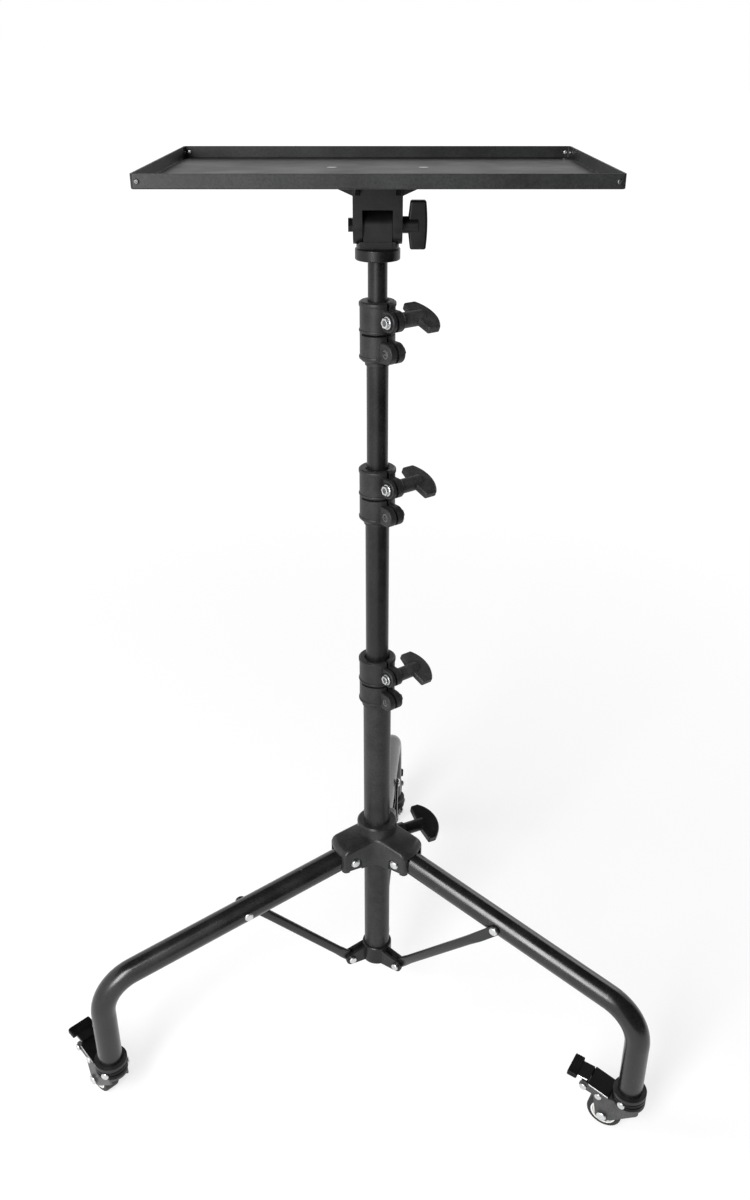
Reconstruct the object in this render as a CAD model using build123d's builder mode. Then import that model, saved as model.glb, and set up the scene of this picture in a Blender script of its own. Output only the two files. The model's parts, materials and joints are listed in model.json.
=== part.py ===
from build123d import *
import math
import os

# Portable projector stand, in millimetres.
# The origin is on the floor under the column, +Z is up, -Y is the front, +X is the right-hand side.

# Column tubes, from the lowest and widest to the highest and thinnest
BASE_TUBE_D = 28.0
BASE_TUBE_WALL = 1.5
BASE_TUBE_LENGTH = 368.0
SECOND_TUBE_D = 22.4
SECOND_TUBE_WALL = 1.0
SECOND_TUBE_LENGTH = 360.0
THIRD_TUBE_D = 19.4
THIRD_TUBE_WALL = 0.9
THIRD_TUBE_LENGTH = 340.0
TOP_TUBE_D = 16.8
TOP_TUBE_WALL = 1.0
TOP_TUBE_LENGTH = 310.0
COLUMN_FOOT_Z = 73.0
SECOND_TUBE_SHOWS = 143.5
THIRD_TUBE_SHOWS = 94.5
TOP_TUBE_SHOWS = 33.5
SLIDE_GAP = 0.2
FIXED_GAP = 0.05

# Split collars that lock one tube on the next
LOWER_COLLAR_D = 35.5
MIDDLE_COLLAR_D = 33.0
UPPER_COLLAR_D = 31.0
COLLAR_HEIGHT = 55.0
COLLAR_STEP = 25.0
COLLAR_LIP = 3.5
COLLAR_LIP_WALL = 1.3
COLLAR_FOOT_BEVEL = 2.0
COLLAR_RIM = 1.0
COLLAR_BEVEL = 2.0
COLLAR_AZIMUTH = -53.0
EAR_RADIUS = 9.0
EAR_HALF_WIDTH = 8.0
EAR_NEAR_WIDTH = 5.5
EAR_ROUND = 1.5
EAR_BOLT_OUT = 5.5
UPPER_EAR_Z = 40.0
LOWER_EAR_Z = 13.5
SPLIT_WIDTH = 3.0
SLIT_Z = 26.5
SLIT_HEIGHT = 2.0
SLIT_BACK = 2.0
NUT_RADIUS = 4.6
NUT_THICKNESS = 3.5
COLLAR_BOLT_D = 5.0
SCREW_HEAD_D = 8.0
SCREW_HEAD_DEPTH = 3.0
BOLT_GAP = 0.1

# Wing knobs
KNOB_SPAN = 47.0
KNOB_TIP_DEPTH = 8.5
KNOB_BULGE = 12.0
KNOB_THICKNESS = 9.5
KNOB_FLARE = 1.5
KNOB_ROUND = 1.8
KNOB_STEM_D = 13.5
KNOB_SEAT_GAP = 0.4
COLLAR_KNOB_STEM = 15.0
COLLAR_KNOB_SPAN = 39.0
COLLAR_KNOB_TIP_DEPTH = 12.0
COLLAR_KNOB_BULGE = 7.6
COLLAR_KNOB_THICKNESS = 7.0
COLLAR_KNOB_TILT_ANGLE = -23.0
HUB_KNOB_STEM = 18.0
HUB_KNOB_TILT_ANGLE = -15.0
TILT_KNOB_STEM = 4.5
TILT_KNOB_SPAN = 38.5
TILT_KNOB_TIP_DEPTH = 13.0
TILT_KNOB_BULGE = 1.2

# Tilting head under the tray
HEAD_COLLAR_D = 38.0
HEAD_COLLAR_HEIGHT = 9.5
HEAD_ROUND = 1.2
HEAD_SOCKET_DEPTH = 18.0
TILT_AXIS_RISE = 27.5
KNUCKLE_WIDTH = 23.6
KNUCKLE_RADIUS = 11.0
HEAD_EAR_GAP = 0.5
HEAD_EAR_THICKNESS = 8.0
HEAD_EAR_RADIUS = 15.0
HEAD_SADDLE_DEPTH = 20.0
HEAD_SADDLE_GAP = 0.8
HEAD_GROOVE = 1.6
HEAD_GROOVE_RISE = 16.0
HEAD_WEB_GAP = 2.0
TILT_BOLT_D = 6.0
TILT_NUT_RADIUS = 6.0
TILT_NUT_THICKNESS = 4.0
BRACKET_RISE = 40.5
FLANGE_WIDTH = 110.0
FLANGE_DEPTH = 84.0
FLANGE_THICKNESS = 3.5
RIB_THICKNESS = 4.0
RIB_DROP = 15.0
RIB_SPACING = 22.0

# Tray
TRAY_WIDTH = 350.0
TRAY_DEPTH = 245.0
TRAY_RIM = 10.5
TRAY_FLOOR = 1.2
TRAY_WALL = 1.4
TRAY_CORNER = 3.0
TRAY_BEND = 1.0
TRAY_SCREW_D = 4.0
TRAY_SCREW_HEAD_D = 8.4
TRAY_SCREW_SINK = 0.1
TRAY_SCREW_LENGTH = 4.4
TRAY_SCREW_SPACING_X = 76.0
TRAY_SCREW_SPACING_Y = 56.0

# Leg hub that slides on the base tube
LEG_AZIMUTHS = {"rear": 85.9, "left": 205.9, "right": 325.9}
LEG_PIVOT_R = 34.0
LEG_PIVOT_Z = 231.5
LEG_DROOP_ANGLE = 14.2
HUB_COLLAR_D = 42.5
HUB_COLLAR_RISE = 36.5
HUB_COLLAR_BEVEL = 1.5
HUB_DROP = 9.5
HUB_ARM_REACH = 16.5
HUB_ARM_CHEEK = 5.0
HUB_ARM_ROOF = 6.5
HUB_ARM_NOSE = 9.0
HUB_ARM_ROUND = 4.0
HUB_INNER_ROUND = 10.0
HUB_PIN_POCKET_D = 14.0
HUB_SLOT_SIDE_GAP = 0.6
HUB_SLOT_ROOF_GAP = 0.8
HUB_SLOT_END_GAP = 0.8
HUB_KNOB_Z = 241.0
HUB_KNOB_BOSS_D = 17.0
HUB_KNOB_SEAT_R = 33.0
HUB_BOLT_D = 6.0
HUB_BOLT_TIP_GAP = 0.3

# Bent legs
LEG_D = 25.0
LEG_WALL = 1.5
LEG_REACH = 313.0
LEG_BEND_RADIUS = 46.0
LEG_PIN_D = 6.0
LEG_PIN_GAP = 0.1
LEG_PIN_HEAD_D = 9.5
LEG_PIN_HEAD = 1.6

# Ring at the column's foot and the braces from it to the legs
RING_D = 33.0
RING_HEIGHT = 20.0
RING_FLOOR = 3.0
RING_BEVEL = 1.0
BRACE_FOOT_R = 32.0
BRACE_FOOT_RISE = 4.0
BRACE_FOOT_SIDE = 4.0
RING_EAR_RADIUS = 7.0
RING_EAR_THICKNESS = 3.0
BRACE_ON_LEG = 124.5
BRACE_WIDTH = 10.0
BRACE_FOOT_THICKNESS = 4.6
BRACE_BODY_THICKNESS = 6.0
BRACE_PADDLE_THICKNESS = 2.6
BRACE_PADDLE_LENGTH = 26.0
BRACE_FOOT_LENGTH = 13.0
BRACE_LEG_GAP = 0.6
BRACE_EAR_GAP = 0.5
BRACE_END_RADIUS = 5.8
BRACE_GROOVE = 3.0
BRACE_GROOVE_DEPTH = 1.0
BRACE_PIN_D = 4.4
BRACE_PIN_GAP = 0.1
BRACE_PIN_HEAD_D = 7.6
BRACE_PIN_HEAD = 1.6

# Casters, with the azimuth to which each one trails
CASTER_AZIMUTHS = {"rear": 86.0, "left": 135.0, "right": 149.0}
WHEEL_D = 37.0
WHEEL_WIDTH = 16.5
WHEEL_CORE_D = 27.0
WHEEL_DISH = 1.6
WHEEL_HUB_D = 11.0
TYRE_ROUND = 3.0
CASTER_TRAIL = 22.0
AXLE_D = 6.0
AXLE_GAP = 0.1
AXLE_HEAD_D = 9.0
AXLE_HEAD = 2.0
FORK_SIDE_GAP = 1.2
FORK_PLATE = 2.0
FORK_WHEEL_GAP = 5.9
FORK_HOOD_GAP = 2.0
FORK_CROWN = 2.6
FORK_AXLE_RADIUS = 8.0
FORK_NOSE_DROP = 3.5
FORK_REAR_OUT = 12.0
FORK_REAR_RISE = 23.0
FORK_RIVET_D = 10.0
SWIVEL_D = 34.0
SWIVEL_HEIGHT = 10.0
SWIVEL_GROOVE = 1.2
SWIVEL_GROOVE_Z = 4.5
SWIVEL_ROUND = 1.2
SWIVEL_GAP = 0.5
STEM_D = 8.0
STEM_RISE = 13.0
STEM_GAP = 0.1
SOCKET_FLANGE = 4.0
SOCKET_DEPTH = 16.0
PEDAL_PIVOT_OUT = 23.0
PEDAL_PIVOT_RISE = 30.5
PEDAL_BOSS_D = 7.4
PEDAL_PIN_D = 3.6
PEDAL_PIN_HEAD_D = 7.0
PEDAL_PIN_GAP = 0.1
PEDAL_PLATE_GAP = 0.5
PEDAL_EAR_RADIUS = 5.0
PEDAL_STAND = 7.6
PEDAL_SLOPE_ANGLE = 5.0
PEDAL_BACK = 3.5
PEDAL_LENGTH = 19.5
PEDAL_NECK = 4.0
PEDAL_THICKNESS = 6.0
PEDAL_WIDTH = 26.0
PEDAL_WIDE_FROM = 9.0
PEDAL_ROUND = 1.2
PEDAL_RIB_COUNT = 4
PEDAL_RIB_SPACING = 2.6
PEDAL_RIB = 1.2
PEDAL_RIB_HEIGHT = 1.0
COVER_THICKNESS = 3.5
COVER_RISE = 7.0
COVER_HEAD_GAP = 0.3
COVER_END_GAP = 1.2
COVER_WIDTH = 24.0
COVER_ROUND = 0.8

# Heights that follow from the sizes above
lower_collar_z = COLUMN_FOOT_Z + BASE_TUBE_LENGTH - COLLAR_STEP
middle_collar_z = lower_collar_z + COLLAR_HEIGHT + SECOND_TUBE_SHOWS
upper_collar_z = middle_collar_z + COLLAR_HEIGHT + THIRD_TUBE_SHOWS
head_z = upper_collar_z + COLLAR_HEIGHT + TOP_TUBE_SHOWS
second_tube_z = middle_collar_z + COLLAR_STEP - SECOND_TUBE_LENGTH
third_tube_z = upper_collar_z + COLLAR_STEP - THIRD_TUBE_LENGTH
top_tube_z = head_z + HEAD_SOCKET_DEPTH - TOP_TUBE_LENGTH
tilt_z = head_z + TILT_AXIS_RISE
tray_z = tilt_z + BRACKET_RISE
flange_z = tray_z - FLANGE_THICKNESS
axle_z = WHEEL_D / 2
crown_z = WHEEL_D + FORK_WHEEL_GAP
swivel_z = crown_z + FORK_CROWN
swivel_top_z = swivel_z + SWIVEL_HEIGHT
socket_z = swivel_top_z + SWIVEL_GAP
leg_end_z = socket_z + SOCKET_FLANGE
pedal_x = CASTER_TRAIL + PEDAL_PIVOT_OUT
pedal_z = axle_z + PEDAL_PIVOT_RISE

# Directions and points in the plane of a leg, as distance from the column axis and height
droop = math.radians(LEG_DROOP_ANGLE)
leg_along = (math.cos(droop), -math.sin(droop))
leg_over = (math.sin(droop), math.cos(droop))
leg_pivot = (LEG_PIVOT_R, LEG_PIVOT_Z)
leg_radius = LEG_D / 2
leg_corner_z = LEG_PIVOT_Z - (LEG_REACH - LEG_PIVOT_R) * math.tan(droop)
brace_foot = (BRACE_FOOT_R, COLUMN_FOOT_Z + BRACE_FOOT_RISE)
brace_head = (LEG_PIVOT_R + BRACE_ON_LEG * leg_along[0], LEG_PIVOT_Z + BRACE_ON_LEG * leg_along[1])
brace_length = math.hypot(brace_head[0] - brace_foot[0], brace_head[1] - brace_foot[1])
brace_rise = math.degrees(math.atan2(brace_head[1] - brace_foot[1], brace_head[0] - brace_foot[0]))
hub_top_z = LEG_PIVOT_Z + HUB_COLLAR_RISE
hub_bottom_z = LEG_PIVOT_Z - HUB_DROP
hub_knob_azimuth = LEG_AZIMUTHS["right"] - 360.0 + 60.0


def beside_leg(along, over):
    """Point in the plane of a leg, measured along and across the leg from its pivot."""
    return (
        leg_pivot[0] + along * leg_along[0] + over * leg_over[0],
        leg_pivot[1] + along * leg_along[1] + over * leg_over[1],
    )


def leg_plane(azimuth, side=0.0):
    """Upright plane along a leg, moved sideways towards its brace."""
    a = math.radians(azimuth)
    return Plane(
        origin=(side * math.sin(a), -side * math.cos(a), 0),
        x_dir=(math.cos(a), math.sin(a), 0),
        z_dir=(math.sin(a), -math.cos(a), 0),
    )


def turned(part, azimuth, z=0.0):
    """Copy of a part turned about the column axis and lifted."""
    return part.moved(Location((0, 0, z), (0, 0, azimuth)))


def at_caster(part, side):
    """Copy of a caster piece placed under the end of one leg."""
    azimuth = math.radians(LEG_AZIMUTHS[side])
    foot = (LEG_REACH * math.cos(azimuth), LEG_REACH * math.sin(azimuth), 0)
    return part.moved(Location(foot, (0, 0, CASTER_AZIMUTHS[side])))


os.makedirs("parts", exist_ok=True)


def keep(part, name):
    """Label one piece and write it to its own file."""
    part.label = name
    export_step(part, f"parts/{name}.step")


def make_tube(diameter, wall, length, z):
    with BuildPart() as tube:
        with BuildSketch(Plane.XY.offset(z)):
            Circle(diameter / 2)
            Circle(diameter / 2 - wall, mode=Mode.SUBTRACT)
        extrude(amount=length)
    return tube.part


# Four column tubes, one inside the next
keep(make_tube(BASE_TUBE_D, BASE_TUBE_WALL, BASE_TUBE_LENGTH, COLUMN_FOOT_Z), "base_tube")
keep(make_tube(SECOND_TUBE_D, SECOND_TUBE_WALL, SECOND_TUBE_LENGTH, second_tube_z), "second_tube")
keep(make_tube(THIRD_TUBE_D, THIRD_TUBE_WALL, THIRD_TUBE_LENGTH, third_tube_z), "third_tube")
keep(make_tube(TOP_TUBE_D, TOP_TUBE_WALL, TOP_TUBE_LENGTH, top_tube_z), "top_tube")


def make_collar(collar_d, outer_tube_d, inner_tube_d):
    """Split collar: the lower band grips the outer tube, the upper band the inner one."""
    body = collar_d / 2
    low_bore = outer_tube_d / 2 + FIXED_GAP
    high_bore = inner_tube_d / 2 + SLIDE_GAP
    lip = low_bore + COLLAR_LIP_WALL
    bolt_x = body + EAR_BOLT_OUT
    reach = bolt_x + 2 * EAR_RADIUS
    with BuildPart() as collar:
        for ear_z, near in ((UPPER_EAR_Z, EAR_NEAR_WIDTH), (LOWER_EAR_Z, EAR_HALF_WIDTH)):
            for width in (near, -EAR_HALF_WIDTH):
                with BuildSketch(Plane.XZ):
                    with Locations((bolt_x, ear_z)):
                        Circle(EAR_RADIUS)
                    with Locations((bolt_x / 2, ear_z)):
                        Rectangle(bolt_x, 2 * EAR_RADIUS)
                extrude(amount=width)
        ear_faces = collar.faces().filter_by(Axis.Y)
        fillet(ear_faces.edges().filter_by(GeomType.CIRCLE), radius=EAR_ROUND)
        with BuildSketch(Plane.XZ):
            with BuildLine():
                Polyline(
                    (low_bore, 0),
                    (lip, 0),
                    (lip, COLLAR_LIP),
                    (body - COLLAR_FOOT_BEVEL, COLLAR_LIP),
                    (body, COLLAR_LIP + COLLAR_FOOT_BEVEL),
                    (body, COLLAR_HEIGHT - COLLAR_RIM),
                    (body - COLLAR_RIM, COLLAR_HEIGHT),
                    (high_bore + COLLAR_BEVEL, COLLAR_HEIGHT),
                    (high_bore, COLLAR_HEIGHT - COLLAR_BEVEL),
                    (high_bore, COLLAR_STEP),
                    (low_bore, COLLAR_STEP),
                    close=True,
                )
            make_face()
        revolve(axis=Axis.Z)
        with BuildSketch(Plane.XY):
            Circle(low_bore)
        extrude(amount=COLLAR_STEP, mode=Mode.SUBTRACT)
        with BuildSketch(Plane.XY.offset(COLLAR_STEP)):
            Circle(high_bore)
        extrude(amount=COLLAR_HEIGHT, mode=Mode.SUBTRACT)
        with BuildSketch(Plane.XY):
            with Locations((reach / 2, 0)):
                Rectangle(reach, SPLIT_WIDTH)
        extrude(amount=COLLAR_HEIGHT, mode=Mode.SUBTRACT)
        with BuildSketch(Plane.XY.offset(SLIT_Z)):
            with Locations(((reach - SLIT_BACK) / 2, 0)):
                Rectangle(reach + SLIT_BACK, 2 * reach)
        extrude(amount=SLIT_HEIGHT, mode=Mode.SUBTRACT)
        with BuildSketch(Plane.XZ):
            with Locations((bolt_x, UPPER_EAR_Z), (bolt_x, LOWER_EAR_Z)):
                Circle(COLLAR_BOLT_D / 2 + BOLT_GAP)
        extrude(amount=reach, both=True, mode=Mode.SUBTRACT)
        with BuildSketch(Plane.XZ.offset(EAR_HALF_WIDTH - SCREW_HEAD_DEPTH)):
            with Locations((bolt_x, LOWER_EAR_Z)):
                Circle(SCREW_HEAD_D / 2 + BOLT_GAP)
        extrude(amount=SCREW_HEAD_DEPTH, mode=Mode.SUBTRACT)
    return collar.part


def make_collar_hardware(collar_d):
    """Nut for the wing bolt and, below it, the socket screw with its nut."""
    bolt_x = collar_d / 2 + EAR_BOLT_OUT
    with BuildPart() as hardware:
        with BuildSketch(Plane.XZ.offset(EAR_NEAR_WIDTH)):
            with Locations((bolt_x, UPPER_EAR_Z)):
                RegularPolygon(NUT_RADIUS, 6)
                Circle(COLLAR_BOLT_D / 2 + BOLT_GAP, mode=Mode.SUBTRACT)
        extrude(amount=NUT_THICKNESS)
        with BuildSketch(Plane.XZ.offset(-EAR_HALF_WIDTH - NUT_THICKNESS)):
            with Locations((bolt_x, LOWER_EAR_Z)):
                RegularPolygon(NUT_RADIUS, 6)
        extrude(amount=NUT_THICKNESS)
        with BuildSketch(Plane.XZ.offset(-EAR_HALF_WIDTH)):
            with Locations((bolt_x, LOWER_EAR_Z)):
                Circle(COLLAR_BOLT_D / 2)
        extrude(amount=2 * EAR_HALF_WIDTH - SCREW_HEAD_DEPTH)
        with BuildSketch(Plane.XZ.offset(EAR_HALF_WIDTH - SCREW_HEAD_DEPTH)):
            with Locations((bolt_x, LOWER_EAR_Z)):
                Circle(SCREW_HEAD_D / 2)
        extrude(amount=SCREW_HEAD_DEPTH - BOLT_GAP)
        with BuildSketch(Plane.XZ.offset(EAR_HALF_WIDTH - SCREW_HEAD_DEPTH / 2)):
            with Locations((bolt_x, LOWER_EAR_Z)):
                RegularPolygon(COLLAR_BOLT_D / 2, 6)
        extrude(amount=SCREW_HEAD_DEPTH, mode=Mode.SUBTRACT)
    return hardware.part


def make_knob(
    stem,
    shaft_d,
    shaft,
    span=KNOB_SPAN,
    tip_depth=KNOB_TIP_DEPTH,
    bulge=KNOB_BULGE,
    thickness=KNOB_THICKNESS,
):
    """Wing knob along +X from its seat, with its bolt reaching back along -X."""
    half = span / 2
    under = stem + KNOB_FLARE
    tip = under + tip_depth
    with BuildPart() as knob:
        with BuildSketch(Plane.XZ):
            with BuildLine():
                Polyline((tip, half), (under, half), (stem, KNOB_STEM_D / 2), (stem, -KNOB_STEM_D / 2))
                Polyline((stem, -KNOB_STEM_D / 2), (under, -half), (tip, -half))
                ThreePointArc((tip, -half), (tip + bulge, 0), (tip, half))
            make_face()
        extrude(amount=thickness / 2, both=True)
        fillet(knob.edges(), radius=KNOB_ROUND)
        with BuildSketch(Plane.YZ):
            Circle(KNOB_STEM_D / 2)
        extrude(amount=under + tip_depth / 2)
        with BuildSketch(Plane.YZ.offset(-shaft)):
            Circle(shaft_d / 2)
        extrude(amount=shaft)
    return knob.part


def knob_plane(origin, axis_azimuth, wing_tilt):
    """Seat of a knob: its axis lies level at an azimuth, its wing leans by a tilt."""
    a = math.radians(axis_azimuth)
    t = math.radians(wing_tilt)
    level = (math.sin(a), -math.cos(a))
    return Plane(
        origin=origin,
        x_dir=(math.cos(a), math.sin(a), 0),
        z_dir=(level[0] * math.cos(t), level[1] * math.cos(t), math.sin(t)),
    )


# Split collars with their nuts, screws and wing knobs
for level, collar_d, outer_d, inner_d, collar_z in (
    ("lower", LOWER_COLLAR_D, BASE_TUBE_D, SECOND_TUBE_D, lower_collar_z),
    ("middle", MIDDLE_COLLAR_D, SECOND_TUBE_D, THIRD_TUBE_D, middle_collar_z),
    ("upper", UPPER_COLLAR_D, THIRD_TUBE_D, TOP_TUBE_D, upper_collar_z),
):
    keep(turned(make_collar(collar_d, outer_d, inner_d), COLLAR_AZIMUTH, collar_z), f"{level}_collar")
    keep(turned(make_collar_hardware(collar_d), COLLAR_AZIMUTH, collar_z), f"{level}_collar_bolts")
    out = math.radians(COLLAR_AZIMUTH)
    bolt_r = collar_d / 2 + EAR_BOLT_OUT
    seat_y = EAR_HALF_WIDTH + KNOB_SEAT_GAP
    seat = (
        bolt_r * math.cos(out) - seat_y * math.sin(out),
        bolt_r * math.sin(out) + seat_y * math.cos(out),
        collar_z + UPPER_EAR_Z,
    )
    collar_knob = make_knob(
        COLLAR_KNOB_STEM,
        COLLAR_BOLT_D,
        seat_y + EAR_NEAR_WIDTH + NUT_THICKNESS,
        COLLAR_KNOB_SPAN,
        COLLAR_KNOB_TIP_DEPTH,
        COLLAR_KNOB_BULGE,
        COLLAR_KNOB_THICKNESS,
    )
    knob_seat = knob_plane(seat, COLLAR_AZIMUTH + 90.0, COLLAR_KNOB_TILT_ANGLE)
    keep(collar_knob.moved(knob_seat.location), f"{level}_collar_knob")


# Head on the top tube: round collar, neck and knuckle
with BuildPart() as head_base:
    with BuildSketch(Plane.XY.offset(head_z)):
        Circle(HEAD_COLLAR_D / 2)
    extrude(amount=HEAD_COLLAR_HEIGHT)
    fillet(head_base.edges(), radius=HEAD_ROUND)
    with BuildSketch(Plane.XY.offset(head_z + HEAD_COLLAR_HEIGHT / 2)):
        Circle(HEAD_COLLAR_D / 2 - HEAD_ROUND)
        Rectangle(HEAD_COLLAR_D, HEAD_SADDLE_DEPTH, mode=Mode.INTERSECT)
    extrude(amount=tilt_z - head_z - HEAD_COLLAR_HEIGHT / 2)
    with BuildSketch(Plane.YZ):
        with Locations((0, tilt_z)):
            Circle(HEAD_EAR_RADIUS + HEAD_SADDLE_GAP)
    extrude(amount=HEAD_COLLAR_D, both=True, mode=Mode.SUBTRACT)
    with BuildSketch(Plane.YZ):
        with Locations((0, (head_z + tilt_z) / 2)):
            Rectangle(2 * KNUCKLE_RADIUS, tilt_z - head_z)
        with Locations((0, tilt_z)):
            Circle(KNUCKLE_RADIUS)
    extrude(amount=KNUCKLE_WIDTH / 2, both=True)
    with BuildSketch(Plane.YZ):
        with Locations((0, head_z + HEAD_GROOVE_RISE)):
            Rectangle(4 * KNUCKLE_RADIUS, HEAD_GROOVE)
            Rectangle(2 * KNUCKLE_RADIUS - HEAD_GROOVE, HEAD_GROOVE, mode=Mode.SUBTRACT)
    extrude(amount=KNUCKLE_WIDTH, both=True, mode=Mode.SUBTRACT)
    with BuildSketch(Plane.XY.offset(head_z)):
        Circle(TOP_TUBE_D / 2 + FIXED_GAP)
    extrude(amount=HEAD_SOCKET_DEPTH, mode=Mode.SUBTRACT)
    with BuildSketch(Plane.YZ):
        with Locations((0, tilt_z)):
            Circle(TILT_BOLT_D / 2 + BOLT_GAP)
    extrude(amount=KNUCKLE_WIDTH, both=True, mode=Mode.SUBTRACT)
keep(head_base.part, "head_base")


# Bracket under the tray: flange with ribs, web and two ears about the knuckle
ear_inside = KNUCKLE_WIDTH / 2 + HEAD_EAR_GAP
ear_outside = ear_inside + HEAD_EAR_THICKNESS
with BuildPart() as tray_bracket:
    with BuildSketch(Plane.XY.offset(flange_z)):
        RectangleRounded(FLANGE_WIDTH, FLANGE_DEPTH, 2 * RIB_THICKNESS)
    extrude(amount=FLANGE_THICKNESS)
    with BuildSketch(Plane.YZ):
        with Locations((0, (tilt_z + flange_z) / 2)):
            Rectangle(2 * HEAD_EAR_RADIUS, flange_z - tilt_z)
        with Locations((0, tilt_z)):
            Circle(HEAD_EAR_RADIUS)
    extrude(amount=ear_outside, both=True)
    with BuildSketch(Plane.YZ):
        with Locations((0, tilt_z)):
            Circle(KNUCKLE_RADIUS + HEAD_WEB_GAP)
        with Locations((0, tilt_z - HEAD_EAR_RADIUS / 2)):
            Rectangle(3 * HEAD_EAR_RADIUS, HEAD_EAR_RADIUS)
        with Locations((0, tilt_z + (KNUCKLE_RADIUS + HEAD_WEB_GAP) / 2)):
            Rectangle(3 * HEAD_EAR_RADIUS, KNUCKLE_RADIUS + HEAD_WEB_GAP)
    extrude(amount=ear_inside, both=True, mode=Mode.SUBTRACT)
    for rib_y in (-RIB_SPACING / 2, RIB_SPACING / 2):
        with BuildSketch(Plane.XZ.offset(-rib_y)):
            Polygon(
                (-FLANGE_WIDTH / 2 + RIB_THICKNESS, flange_z),
                (-ear_outside + RIB_THICKNESS, flange_z - RIB_DROP),
                (-ear_outside + RIB_THICKNESS, flange_z),
                align=None,
            )
            Polygon(
                (FLANGE_WIDTH / 2 - RIB_THICKNESS, flange_z),
                (ear_outside - RIB_THICKNESS, flange_z),
                (ear_outside - RIB_THICKNESS, flange_z - RIB_DROP),
                align=None,
            )
        extrude(amount=RIB_THICKNESS / 2, both=True)
    for rib_x in (-ear_outside + HEAD_EAR_THICKNESS / 2, ear_outside - HEAD_EAR_THICKNESS / 2):
        with BuildSketch(Plane.YZ.offset(rib_x)):
            Polygon(
                (-FLANGE_DEPTH / 2 + RIB_THICKNESS, flange_z),
                (-HEAD_EAR_RADIUS + RIB_THICKNESS, flange_z - RIB_DROP),
                (HEAD_EAR_RADIUS - RIB_THICKNESS, flange_z - RIB_DROP),
                (FLANGE_DEPTH / 2 - RIB_THICKNESS, flange_z),
                align=None,
            )
        extrude(amount=RIB_THICKNESS / 2, both=True)
    with BuildSketch(Plane.YZ):
        with Locations((0, tilt_z)):
            Circle(TILT_BOLT_D / 2 + BOLT_GAP)
    extrude(amount=2 * ear_outside, both=True, mode=Mode.SUBTRACT)
    with BuildSketch(Plane.XY.offset(tray_z)):
        with GridLocations(TRAY_SCREW_SPACING_X, TRAY_SCREW_SPACING_Y, 2, 2):
            Circle(TRAY_SCREW_D / 2 + FIXED_GAP)
    extrude(amount=-TRAY_SCREW_LENGTH, mode=Mode.SUBTRACT)
keep(tray_bracket.part, "tray_bracket")


# Nut on the left ear for the tilt bolt
with BuildPart() as tilt_nut:
    with BuildSketch(Plane.YZ.offset(-ear_outside - TILT_NUT_THICKNESS)):
        with Locations((0, tilt_z)):
            RegularPolygon(TILT_NUT_RADIUS, 6)
            Circle(TILT_BOLT_D / 2 + BOLT_GAP, mode=Mode.SUBTRACT)
    extrude(amount=TILT_NUT_THICKNESS)
keep(tilt_nut.part, "tilt_nut")

tilt_seat = Plane(origin=(ear_outside + KNOB_SEAT_GAP, 0, tilt_z), x_dir=(1, 0, 0), z_dir=(0, 0, 1))
tilt_knob = make_knob(
    TILT_KNOB_STEM,
    TILT_BOLT_D,
    2 * ear_outside + KNOB_SEAT_GAP + TILT_NUT_THICKNESS,
    TILT_KNOB_SPAN,
    TILT_KNOB_TIP_DEPTH,
    TILT_KNOB_BULGE,
)
keep(tilt_knob.moved(tilt_seat.location), "tilt_knob")


# Tray: one folded sheet with an upright rim
tray_floor_z = tray_z + TRAY_FLOOR
with BuildPart() as tray_pan:
    with BuildSketch(Plane.XY.offset(tray_z)):
        RectangleRounded(TRAY_WIDTH, TRAY_DEPTH, TRAY_CORNER)
    extrude(amount=TRAY_RIM)
    fillet(tray_pan.edges().group_by(Axis.Z)[0], radius=TRAY_BEND)
    with BuildSketch(Plane.XY.offset(tray_floor_z)):
        RectangleRounded(TRAY_WIDTH - 2 * TRAY_WALL, TRAY_DEPTH - 2 * TRAY_WALL, TRAY_CORNER - TRAY_WALL)
    extrude(amount=TRAY_RIM, mode=Mode.SUBTRACT)
    with BuildSketch(Plane.XY.offset(tray_z)):
        with GridLocations(TRAY_SCREW_SPACING_X, TRAY_SCREW_SPACING_Y, 2, 2):
            Circle(TRAY_SCREW_HEAD_D / 2 + FIXED_GAP)
    extrude(amount=TRAY_FLOOR, mode=Mode.SUBTRACT)
keep(tray_pan.part, "tray_pan")

with BuildPart() as tray_screws:
    with BuildSketch(Plane.XY.offset(tray_z)):
        with GridLocations(TRAY_SCREW_SPACING_X, TRAY_SCREW_SPACING_Y, 2, 2):
            Circle(TRAY_SCREW_HEAD_D / 2)
    extrude(amount=TRAY_FLOOR - TRAY_SCREW_SINK)
    with BuildSketch(Plane.XY.offset(tray_z)):
        with GridLocations(TRAY_SCREW_SPACING_X, TRAY_SCREW_SPACING_Y, 2, 2):
            Circle(TRAY_SCREW_D / 2)
    extrude(amount=-TRAY_SCREW_LENGTH)
keep(tray_screws.part, "tray_screws")


# Hub: sleeve on the base tube with three roofed arms that hold the legs
cheek_in = leg_radius + HUB_SLOT_SIDE_GAP
cheek_out = cheek_in + HUB_ARM_CHEEK
roof_in = leg_radius + HUB_SLOT_ROOF_GAP
roof_out = roof_in + HUB_ARM_ROOF
slot_end = leg_radius + HUB_SLOT_END_GAP
hub_reach = beside_leg(HUB_ARM_REACH, 0)[0]


def roof_z(radius):
    """Height of the arms' roof at a distance from the column axis."""
    return LEG_PIVOT_Z + roof_out / leg_over[1] - (radius - LEG_PIVOT_R) * math.tan(droop)


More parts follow.
